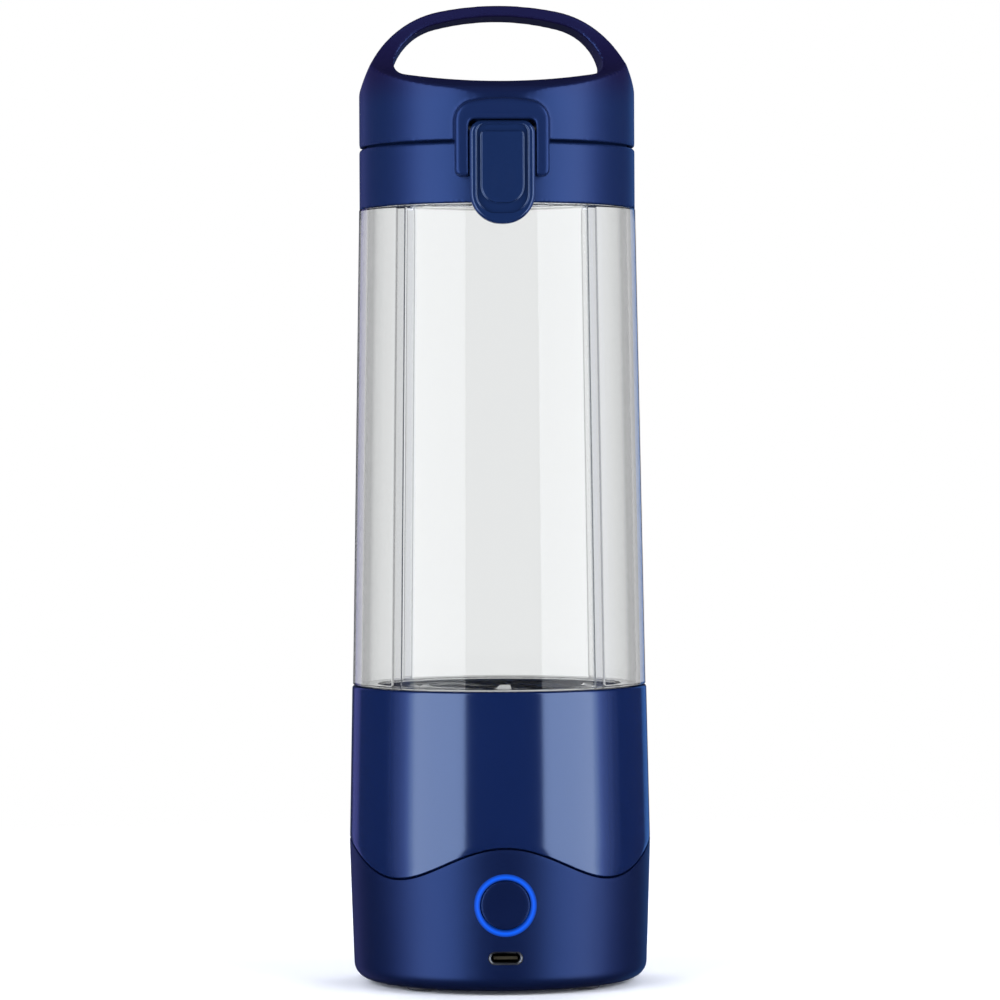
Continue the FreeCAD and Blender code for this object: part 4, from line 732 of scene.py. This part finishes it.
class BLENDMAKER_OT_base(bpy.types.Operator):
    """Glossy shell and soft-touch sleeve of the motor base, parted along a wavy line"""
    bl_idname = "blendmaker.base"
    bl_label = "Base shell and sleeve"

    def execute(self, context):
        sizes = context.scene.blender_base
        angles = even_angles(288)
        fit = 0.05 * MM
        ring = round_outline(middle_height(RING_BOX), (RING_BOX[1].x - RING_BOX[0].x) / 2 + fit)
        port = slot_outline(middle_height(SOCKET_BOX), SOCKET_BOX[1].x - SOCKET_BOX[0].x + 2 * fit,
                            SOCKET_BOX[1].z - SOCKET_BOX[0].z + 2 * fit)
        front, back = -60 * MM, -30 * MM
        for node, section, slot in (("grip_sleeve", sleeve_section, "navy_grip"),
                                    ("base_shell", shell_section, "navy_gloss")):
            piece = turned(node + "_skin", lambda angle, part=section: part(sizes, angle), angles)
            cut(piece, front_bar("ring_hole", ring, front, back), front_bar("port_hole", port, front, back))
            shade(piece, 32)
            dress(piece, finish(slot), "base", slot, node)
        return {"FINISHED"}


def front_turned(name, rows, height, steps=120):
    """Closed piece turned about a line along Y: rows of (radius, depth(x, z)) from its face to its back."""
    rings = []
    for radius, depth in rows:
        circle = [(radius * math.cos(a), height + radius * math.sin(a)) for a in even_angles(steps)]
        rings.append([(x, -depth(x, z), z) for x, z in circle])
    return skin(name, rings)


def outer_face(sizes, drop):
    """Distance of a face from the cup's axis, drop behind the base's outer surface."""
    return lambda x, z: math.sqrt(side_radius(sizes, z) ** 2 - x * x) - drop


def flat_face(depth):
    return lambda x, z: depth


class BLENDMAKER_OT_front(bpy.types.Operator):
    """Light ring, power button and charging socket"""
    bl_idname = "blendmaker.front"
    bl_label = "Button, light ring and socket"

    def execute(self, context):
        sizes = context.scene.blender_base
        face_radius = GLOW_INNER - 0.25 * MM
        flange_radius = BUTTON_BOX[1].x
        back = -BUTTON_BOX[1].y
        flange_front = back + 0.8 * MM
        recess, dish, edge, tiny = 0.3 * MM, 0.3 * MM, 0.3 * MM, 0.07 * MM
        steps = 12
        rows = []
        for step in range(steps + 1):
            share = max(step / steps, 0.01)
            drop = recess + dish * (1 - share**2) ** 2
            rows.append((share * (face_radius - edge), outer_face(sizes, drop)))
        for turn in (30, 60, 90):
            a = math.radians(turn)
            rows.append((face_radius - edge * (1 - math.sin(a)),
                         outer_face(sizes, recess + edge * (1 - math.cos(a)))))
        rows += [(face_radius, flat_face(flange_front)), (flange_radius, flat_face(flange_front)),
                 (flange_radius, flat_face(back)), (tiny, flat_face(back))]
        button = front_turned("power_button_skin", rows, middle_height(BUTTON_BOX))
        shade(button, 40)
        dress(button, finish("navy_button"), "button", "navy_grip", "power_button")
        for node, material, slot in (("light_ring", "blue_light", "blue_light"),
                                     ("usb_socket", "bright_steel", "bright_steel"),
                                     ("usb_tongue", "socket_tongue", "black_plastic")):
            piece = node_copy(node, node + "_skin")
            shade(piece, 28)
            dress(piece, finish(material), "base", slot, node)
        return {"FINISHED"}


# ---------------------------------------------------------------- cup

def rib_angles(sizes):
    """Angles round the cup, close together at the ribs."""
    angles = []
    reach = math.radians(4)
    pitch = 2 * math.pi / sizes.rib_count
    gap = pitch - 2 * reach
    fine, coarse = 16, 28
    for rib in range(sizes.rib_count):
        centre = pitch * (rib + 0.5) + sizes.rib_turn
        angles += [centre + reach * step / fine for step in range(-fine, fine + 1)]
        angles += [centre + reach + gap * step / coarse for step in range(1, coarse)]
    return angles


def rib_wall(sizes):
    """Upper and lower end of the tapered inside wall as (radius, height)."""
    top = CUP_BOX[1].z - sizes.mouth_height - sizes.shoulder_wall - sizes.shoulder
    low = sizes.foot + sizes.shoulder_wall + sizes.shoulder
    return (sizes.upper_radius - sizes.wall, top), (sizes.lower_radius - sizes.wall, low)


def cup_section(sizes):
    low = CUP_BOX[0].z
    high = CUP_BOX[1].z
    top = high - sizes.mouth_height
    edge = sizes.edge
    neck_in = sizes.neck - sizes.wall
    mouth_in = sizes.mouth - sizes.mouth_wall
    outline = [(neck_in + edge, low), (sizes.neck - edge, low)]
    outline += straight((sizes.neck, low + edge), (sizes.neck, sizes.foot - edge), 44)
    outline += arc((sizes.neck + edge, sizes.foot - edge), edge, 180, 90, 3)[:-1]
    outline += straight((sizes.neck + edge, sizes.foot), (sizes.lower_radius - edge, sizes.foot), 3)
    outline += arc((sizes.lower_radius - edge, sizes.foot + edge), edge, -90, 0, 4)
    outline += straight((sizes.lower_radius, sizes.foot + 2 * edge), (sizes.upper_radius, top - 2 * edge), 20)
    outline += arc((sizes.upper_radius - edge, top - edge), edge, 0, 90, 4)
    outline += straight((sizes.upper_radius - 2 * edge, top), (sizes.mouth + edge, top), 3)
    outline += arc((sizes.mouth + edge, top + edge), edge, -90, -180, 3)
    outline += straight((sizes.mouth, top + 2 * edge), (sizes.mouth, high - edge), 40)
    outline += arc((sizes.mouth - edge, high - edge), edge, 0, 90, 3)
    outline += arc((mouth_in + edge, high - edge), edge, 90, 180, 3)
    shoulder_top = top - sizes.shoulder_wall
    shoulder_low = sizes.foot + sizes.shoulder_wall
    upper, lower = rib_wall(sizes)
    outline += straight((mouth_in, high - 2 * edge), (mouth_in, shoulder_top), 4)
    outline += straight((mouth_in, shoulder_top), upper, 4)
    # Rows lie close together at both ends, where the ribs run out.
    shares = [0, 0.0007, 0.0014, 0.0023] + [0.04 + 0.92 * row / 24 for row in range(25)]
    shares += [0.9977, 0.9986, 0.9993, 1]
    outline += [(upper[0] + (lower[0] - upper[0]) * along, upper[1] + (lower[1] - upper[1]) * along)
                for along in shares]
    outline += straight((lower[0], lower[1] - 0.1 * MM), (neck_in, shoulder_low), 4)
    outline += straight((neck_in, shoulder_low), (neck_in, low + edge), 4)
    return outline


def carries_ridges(sizes):
    """The cup's inside wall carries the ribs, the outsides of its necks the threads."""
    upper, lower = rib_wall(sizes)
    near = 0.06 * MM

    def belongs(away, z):
        if lower[1] < z < upper[1]:
            wall = lower[0] + (upper[0] - lower[0]) * (z - lower[1]) / (upper[1] - lower[1])
            return abs(away - wall) < near
        return abs(away - (sizes.neck if z < sizes.foot else sizes.mouth)) < near
    return belongs


def thread_band(name, sizes, wall, low, high, lead, width, depth, body, slot):
    """Ring with inside thread ridges, half a pitch from the cup's own."""
    back = wall + 0.5 * MM
    rows = round((high - low) / (0.3 * MM))
    section = [(back, low), (back, high)] + straight((wall, high), (wall, low), rows) + [(wall, low)]
    piece = turned(name, lambda angle: section, even_angles(180))
    mark_wall(piece, lambda away, z: away < wall + 0.1 * MM)
    phase = math.pi / sizes.starts
    run_trees(piece, thread(sizes, lead, phase, width, -depth, low, high, finish(slot)))
    shade(piece, 40)
    dress(piece, finish(slot), body, slot)


class BLENDMAKER_OT_cup(bpy.types.Operator):
    """Clear cup with its threaded necks and inside ribs, and the threads that hold it"""
    bl_idname = "blendmaker.cup"
    bl_label = "Cup"

    def execute(self, context):
        sizes = context.scene.blender_cup
        piece = turned("clear_cup", lambda angle: cup_section(sizes), rib_angles(sizes))
        mark_wall(piece, carries_ridges(sizes))
        upper, lower = rib_wall(sizes)
        clear = finish("clear_cup")
        margin = 1.0 * MM
        mouth_low = CUP_BOX[1].z - sizes.mouth_height + margin
        wide = sizes.thread_width + 0.5 * MM
        ribs = {"Count": sizes.rib_count, "Radius": (upper[0] + lower[0]) / 2,
                "Phase": math.pi / sizes.rib_count + sizes.rib_turn, "Width": sizes.rib_width,
                "Flank": sizes.rib_flank, "Depth": -sizes.rib_depth, "Low": lower[1], "High": upper[1],
                "Run": 0.3 * MM, "Material": clear}
        run_trees(piece, (ridge_tree("upright_ribs", True), ribs),
                  thread(sizes, sizes.lower_lead, 0, wide, sizes.thread_depth, CUP_BOX[0].z + margin,
                         sizes.foot - margin, clear),
                  thread(sizes, sizes.upper_lead, 0, sizes.thread_width, sizes.thread_depth - 0.1 * MM,
                         mouth_low, CUP_BOX[1].z - margin, clear))
        shade(piece, 40)
        dress(piece, clear, "cup", "clear_cup", "cup")
        base = context.scene.blender_base
        thread_band("socket_thread", sizes, base.chamber_radius - 0.08 * MM, CUP_BOX[0].z + 0.2 * MM,
                    SHELL_BOX[1].z - margin, sizes.lower_lead, wide, sizes.thread_depth, "base",
                    "navy_gloss")
        collar_wall = 38.4 * MM
        thread_band("collar_thread", sizes, collar_wall, COLLAR_BOX[0].z + margin, CUP_BOX[1].z,
                    sizes.upper_lead, sizes.thread_width, sizes.thread_depth - 0.2 * MM, "collar",
                    "navy_satin")
        return {"FINISHED"}


# ---------------------------------------------------------------- lid

class BLENDMAKER_OT_collar(bpy.types.Operator):
    """Collar with the drinking spout and the hinge knuckles"""
    bl_idname = "blendmaker.collar"
    bl_label = "Collar"

    def execute(self, context):
        piece = moulded("collar", "collar_moulding", voxel=0.5 * MM, passes=4)
        low, radius = COLLAR_BOX[0].z, COLLAR_BOX[1].x
        wall_height, bore = 16.4 * MM, 38.9 * MM
        true_wall(piece, radius, low + 0.35 * MM, low + wall_height, reach=0.6 * MM)
        true_level(piece, low, 0.5 * MM, bore, radius)
        dress(piece, finish("navy_satin"), "collar", "navy_satin", "collar")
        return {"FINISHED"}


class BLENDMAKER_OT_cap(bpy.types.Operator):
    """Flip cap with the carry handle"""
    bl_idname = "blendmaker.cap"
    bl_label = "Flip cap"

    def execute(self, context):
        piece = moulded("flip_cap", "cap_moulding", voxel=0.54 * MM, passes=5)
        clear_bore(piece, PIN_BOX, play=0.12 * MM)
        dress(piece, finish("navy_satin"), "cap", "navy_satin", "flip_cap")
        return {"FINISHED"}


def press_dish(piece, face, height, half_width, half_height, depth):
    """Finger dish in the front face of a piece."""
    layer = 1.2 * MM
    for point in piece.data.vertices:
        off = (point.co.x / half_width) ** 2 + ((point.co.z - height) / half_height) ** 2
        if off < 1 and point.co.y < face + layer:
            point.co.y += depth * (1 - off) ** 2


class BLENDMAKER_OT_latch(bpy.types.Operator):
    """Latch lever with its finger dish"""
    bl_idname = "blendmaker.latch"
    bl_label = "Latch lever"

    def execute(self, context):
        piece = moulded("latch_lever", "latch_moulding", voxel=0.16 * MM, passes=3)
        press_dish(piece, LEVER_BOX[0].y, height=234.7 * MM, half_width=4.6 * MM, half_height=7.5 * MM,
                   depth=0.45 * MM)
        dress(piece, finish("latch_gloss"), "latch", "navy_satin", "latch_lever")
        return {"FINISHED"}


# ---------------------------------------------------------------- the rest of the pieces

def set_round(piece, centre, slot, node):
    """Four copies of a piece at even steps round the cup's axis; the first stands on centre."""
    for point in piece.data.vertices:
        point.co.x += centre[0]
        point.co.y += centre[1]
    run_trees(piece, (circle_tree(), {"Count": 4, "Material": finish(slot)}))
    shade(piece, 35)
    dress(piece, finish(slot), "base", slot, node)


def foot_section(radius, top):
    """Rubber foot with a rounded sole and two grip grooves."""
    tiny, sole_round, bevel = 0.05 * MM, 0.5 * MM, 0.1 * MM
    depth, floor, mouth = 0.3 * MM, 0.25 * MM, 0.35 * MM
    outline = [(tiny, top), (tiny, 0.25 * MM)]
    for groove in (1.5 * MM, 2.9 * MM):
        outline += [(groove - mouth, 0.0), (groove - floor, depth), (groove + floor, depth),
                    (groove + mouth, 0.0)]
    outline += arc((radius - sole_round, sole_round), sole_round, -90, 0, 4)
    return outline + [(radius, top - bevel), (radius - bevel, top)]


def screw_section(head_radius, shank_radius, low, neck, high):
    """Pan-head screw that points up, with rows for its thread."""
    tiny, head_round, tip = 0.05 * MM, 0.5 * MM, 0.8 * MM
    outline = [(tiny, low)]
    outline += arc((head_radius - head_round, low + head_round), head_round, -90, 0, 4)
    outline += [(head_radius, neck), (shank_radius, neck)]
    outline += straight((shank_radius, neck + 0.1 * MM), (shank_radius, high - tip), 60)
    return outline + [(shank_radius, high - tip), (shank_radius * 0.4, high), (tiny, high)]


def cross_recess(piece, low, reach):
    """Cross-shaped driver recess in the underside of a screw's head."""
    slot, rise = 0.35 * MM, 1 * MM
    bars = []
    for name, across, along in (("bar_x", reach, slot), ("bar_y", slot, reach)):
        corners = ((-across, -along), (across, -along), (across, along), (-across, along))
        bars.append(skin(name, [[(x, y, z) for x, y in corners] for z in (low - rise, low + rise)]))
    cut(piece, *bars)


def eased(node, width, body, slot):
    """Copy of a CAD node whose sharp edges are slightly rounded."""
    piece = node_copy(node, node + "_skin")
    rounding = piece.modifiers.new("edges", "BEVEL")
    rounding.width = width
    rounding.segments = 2
    rounding.limit_method = "ANGLE"
    rounding.angle_limit = math.radians(32)
    make_plain(piece)
    shade(piece, 32)
    dress(piece, finish(slot), body, slot, node)


class BLENDMAKER_OT_blades(bpy.types.Operator):
    """Blade unit and spout plug with eased edges"""
    bl_idname = "blendmaker.blades"
    bl_label = "Blades and plug"

    def execute(self, context):
        for node, rounding, body in (("blade_lower", 0.12 * MM, "rotor"), ("blade_upper", 0.12 * MM, "rotor"),
                                     ("blade_nut", 0.3 * MM, "rotor"), ("blade_seat", 0.3 * MM, "base")):
            eased(node, rounding, body, "blade_steel")
        plug = moulded("spout_plug", "spout_plug_skin", voxel=0.25 * MM, passes=5)
        dress(plug, finish("seal_rubber"), "cap", "seal_rubber", "spout_plug")
        return {"FINISHED"}


class BLENDMAKER_OT_underside(bpy.types.Operator):
    """Rubber feet and the cover screws under them"""
    bl_idname = "blendmaker.underside"
    bl_label = "Feet and screws"

    def execute(self, context):
        foot_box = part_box("feet")
        radius = 4.5 * MM
        centre = (foot_box[1].x - radius, foot_box[1].y - radius)
        foot = turned("rubber_feet", lambda angle: foot_section(radius, foot_box[1].z), even_angles(64))
        set_round(foot, centre, "foot_rubber", "feet")
        low, high = (corner.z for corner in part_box("cover_screws"))
        head, shank, neck = 2.8 * MM, 1.5 * MM, low + 1.8 * MM
        screw = turned("cover_screw_set", lambda angle: screw_section(head, shank, low, neck, high),
                       even_angles(48))
        mark_wall(screw, lambda away, z: abs(away - shank) < 0.02 * MM)
        run_trees(screw, (ridge_tree("thread_ridges", False),
                          {"Count": 1, "Lead": 1.1 * MM, "Phase": 0.0, "Width": 0.6 * MM, "Flank": 0.4 * MM,
                           "Depth": -0.3 * MM, "Low": low + 3 * MM, "High": high - 0.8 * MM,
                           "Run": 0.5 * MM, "Material": finish("screw_steel")}))
        cross_recess(screw, low, reach=1.6 * MM)
        set_round(screw, centre, "screw_steel", "cover_screws")
        return {"FINISHED"}


class BLENDMAKER_OT_inside(bpy.types.Operator):
    """Finishes of the pieces that keep their plain form"""
    bl_idname = "blendmaker.inside"
    bl_label = "Inner pieces"

    def execute(self, context):
        for row in frame["record"]["subparts"]:
            for place in frame["nodes"][row["node"]].material_slots:
                place.material = finish(row["material_slot"])
        return {"FINISHED"}


# ---------------------------------------------------------------- stage

class StageSizes(bpy.types.PropertyGroup):
    """Camera and light of the picture."""
    distance: length("Distance", 1.36, "Camera from the axis of the cup")
    eye_height: length("Eye height", 158.8 * MM, "Camera above the table")
    turn: angle_size("Turn", 2.0, "Camera to the left of the front")
    lens: FloatProperty(name="Lens", description="Focal length in millimetres", default=165.2, min=1)
    roll: angle_size("Roll", -0.26, "Camera about its line of view")
    shift: FloatVectorProperty(name="Shift", description="Shift of the picture",
                               default=(0.0018, -0.057), size=2)
    floor_radius: length("Floor", 2.2, "Radius of the floor")
    panel_distance: length("Panels", 1.25, "Side lights from the axis of the cup")


def look_at(piece, target):
    piece.rotation_euler = (Vector(target) - piece.location).to_track_quat("-Z", "Y").to_euler()


def area_light(name, place, target, width, height, power, colour=(1, 1, 1)):
    data = bpy.data.lights.new(name, "AREA")
    data.shape = "RECTANGLE"
    data.size = width
    data.size_y = height
    data.energy = power
    data.color = colour
    lamp = bpy.data.objects.new(name, data)
    lamp.location = place
    bpy.context.scene.collection.objects.link(lamp)
    look_at(lamp, target)
    lamp.visible_camera = False
    lamp.visible_transmission = False
    return lamp


def side_light(name, near, far, brightness, sizes, colour=(0.93, 0.96, 1.0)):
    """Upright panel between two azimuths from the front, both in degrees."""
    turn = math.radians((near + far) / 2) - sizes.turn
    away = sizes.panel_distance
    width = 2 * away * math.tan(math.radians(abs(far - near) / 2))
    height, middle = 1.9, 0.2
    place = (away * math.sin(turn), -away * math.cos(turn), middle)
    return area_light(name, place, (0, 0, middle), width, height, brightness * width * height, colour)


def floor_material(radius):
    """Pale floor that fades out into the surroundings and is clear from below."""
    material, group, shader = plain_material("pale_floor")
    away = add(group, "ShaderNodeVectorMath", {0: own_place(group)}, operation="LENGTH")
    fade_start, fade_end = radius * 0.09, radius * 0.27
    fade = ease(group, away.outputs["Value"], fade_start, fade_end, 1, 0)
    below = add(group, "ShaderNodeNewGeometry").outputs["Backfacing"]
    above = reckon(group, "MULTIPLY_ADD", below, -1, 1)
    feed(group, shader, {"Base Color": (0.86, 0.86, 0.87, 1), "Roughness": 0.6,
                         "Alpha": reckon(group, "MULTIPLY", fade, above)})
    return material


def studio_world():
    """White behind the object and through its clear parts, a dim room in reflections, a paler one
    in those inside the cup."""
    world = bpy.data.worlds.new("studio")
    world.use_nodes = True
    group = world.node_tree
    room = group.nodes["Background"]
    feed(group, room, {"Color": (0.42, 0.46, 0.9, 1), "Strength": 0.08})
    white, pale = (add(group, "ShaderNodeBackground", {"Color": (1, 1, 1, 1), "Strength": strength})
                   for strength in (1.0, 0.6))
    ray = add(group, "ShaderNodeLightPath").outputs
    seen = reckon(group, "MAXIMUM", ray["Is Camera Ray"], ray["Is Transmission Ray"])
    within = reckon(group, "GREATER_THAN", ray["Transmission Depth"], 0.5)
    reflected = add(group, "ShaderNodeMixShader", {0: within, 1: room.outputs[0], 2: pale.outputs[0]})
    mix = add(group, "ShaderNodeMixShader", {0: seen, 1: reflected.outputs[0], 2: white.outputs[0]})
    feed(group, group.nodes["World Output"], {"Surface": mix.outputs[0]})
    bpy.context.scene.world = world


class BLENDMAKER_OT_stage(bpy.types.Operator):
    """Floor, soft studio light and the camera"""
    bl_idname = "blendmaker.stage"
    bl_label = "Stage"

    def execute(self, context):
        sizes = context.scene.blender_stage
        scene = context.scene
        count, level = 96, -0.2 * MM
        rim = [(sizes.floor_radius * math.cos(a), sizes.floor_radius * math.sin(a), level)
               for a in even_angles(count)]
        floor = mesh_object("floor", rim, [tuple(range(count))])
        floor.data.materials.append(floor_material(sizes.floor_radius))
        floor.visible_glossy = False
        studio_world()
        brightness = 27
        pale, cool, blue = (0.93, 0.96, 1.0), (0.68, 0.8, 1.0), (0.44, 0.54, 1.0)
        fading = ((4, 0.7, cool), (4, 0.44, blue), (5, 0.26, blue), (6, 0.15, blue), (7, 0.05, blue))
        for side, near, spread in (("left", -26, 43), ("right", 33, 44)):
            for panel, (width, share, colour) in enumerate(((spread, 1.0, pale), *fading)):
                far = near + math.copysign(width, near)
                side_light(f"{side}_box_{panel}", near, far, brightness * share, sizes, colour)
                near = far
        side_light("left_edge", -138, -156, 1.5, sizes, (0.34, 0.32, 1.0))
        side_light("right_edge", 146, 164, 2.0, sizes, (0.10, 0.36, 1.0))
        for panel, (near, far) in enumerate(((130, 170), (190, 230))):
            rear = side_light(f"rear_box_{panel}", near, far, 17, sizes)
            rear.visible_glossy = False
        top = area_light("top_box", (0, 0.2, 1.4), (0, 0, 0.14), width=0.8, height=0.8, power=4)
        top.visible_glossy = False
        data = bpy.data.cameras.new("camera")
        data.lens = sizes.lens
        data.sensor_width = 36
        data.shift_x, data.shift_y = sizes.shift
        data.clip_end = 50
        camera = bpy.data.objects.new("camera", data)
        camera.location = (-sizes.distance * math.sin(sizes.turn),
                           -sizes.distance * math.cos(sizes.turn), sizes.eye_height)
        scene.collection.objects.link(camera)
        look_at(camera, (0, 0, sizes.eye_height))
        camera.rotation_euler.rotate_axis("Z", sizes.roll)
        scene.camera = camera
        scene.view_settings.view_transform = "Standard"
        return {"FINISHED"}


class BLENDMAKER_PT_panel(bpy.types.Panel):
    """Operators of the model in the sidebar"""
    bl_idname = "BLENDMAKER_PT_panel"
    bl_label = "Personal Blender"
    bl_space_type = "VIEW_3D"
    bl_region_type = "UI"
    bl_category = "Blender Model"

    def draw(self, context):
        for step in STEPS:
            self.layout.operator(step.bl_idname)


STEPS = (BLENDMAKER_OT_inside, BLENDMAKER_OT_base, BLENDMAKER_OT_front, BLENDMAKER_OT_underside,
         BLENDMAKER_OT_blades, BLENDMAKER_OT_cup, BLENDMAKER_OT_collar, BLENDMAKER_OT_cap,
         BLENDMAKER_OT_latch, BLENDMAKER_OT_stage)
GROUPS = {"blender_base": BaseSizes, "blender_cup": CupSizes, "blender_finishes": Finishes,
          "blender_stage": StageSizes}


def register():
    for name, group in GROUPS.items():
        bpy.utils.register_class(group)
        setattr(bpy.types.Scene, name, PointerProperty(type=group))
    for step in STEPS:
        bpy.utils.register_class(step)
    bpy.utils.register_class(BLENDMAKER_PT_panel)


def unregister():
    bpy.utils.unregister_class(BLENDMAKER_PT_panel)
    for step in reversed(STEPS):
        bpy.utils.unregister_class(step)
    for name, group in GROUPS.items():
        delattr(bpy.types.Scene, name)
        bpy.utils.unregister_class(group)


def main():
    register()
    for step in STEPS:
        area, title = step.bl_idname.split(".")
        getattr(getattr(bpy.ops, area), title)()


if __name__ == "__main__":
    main()
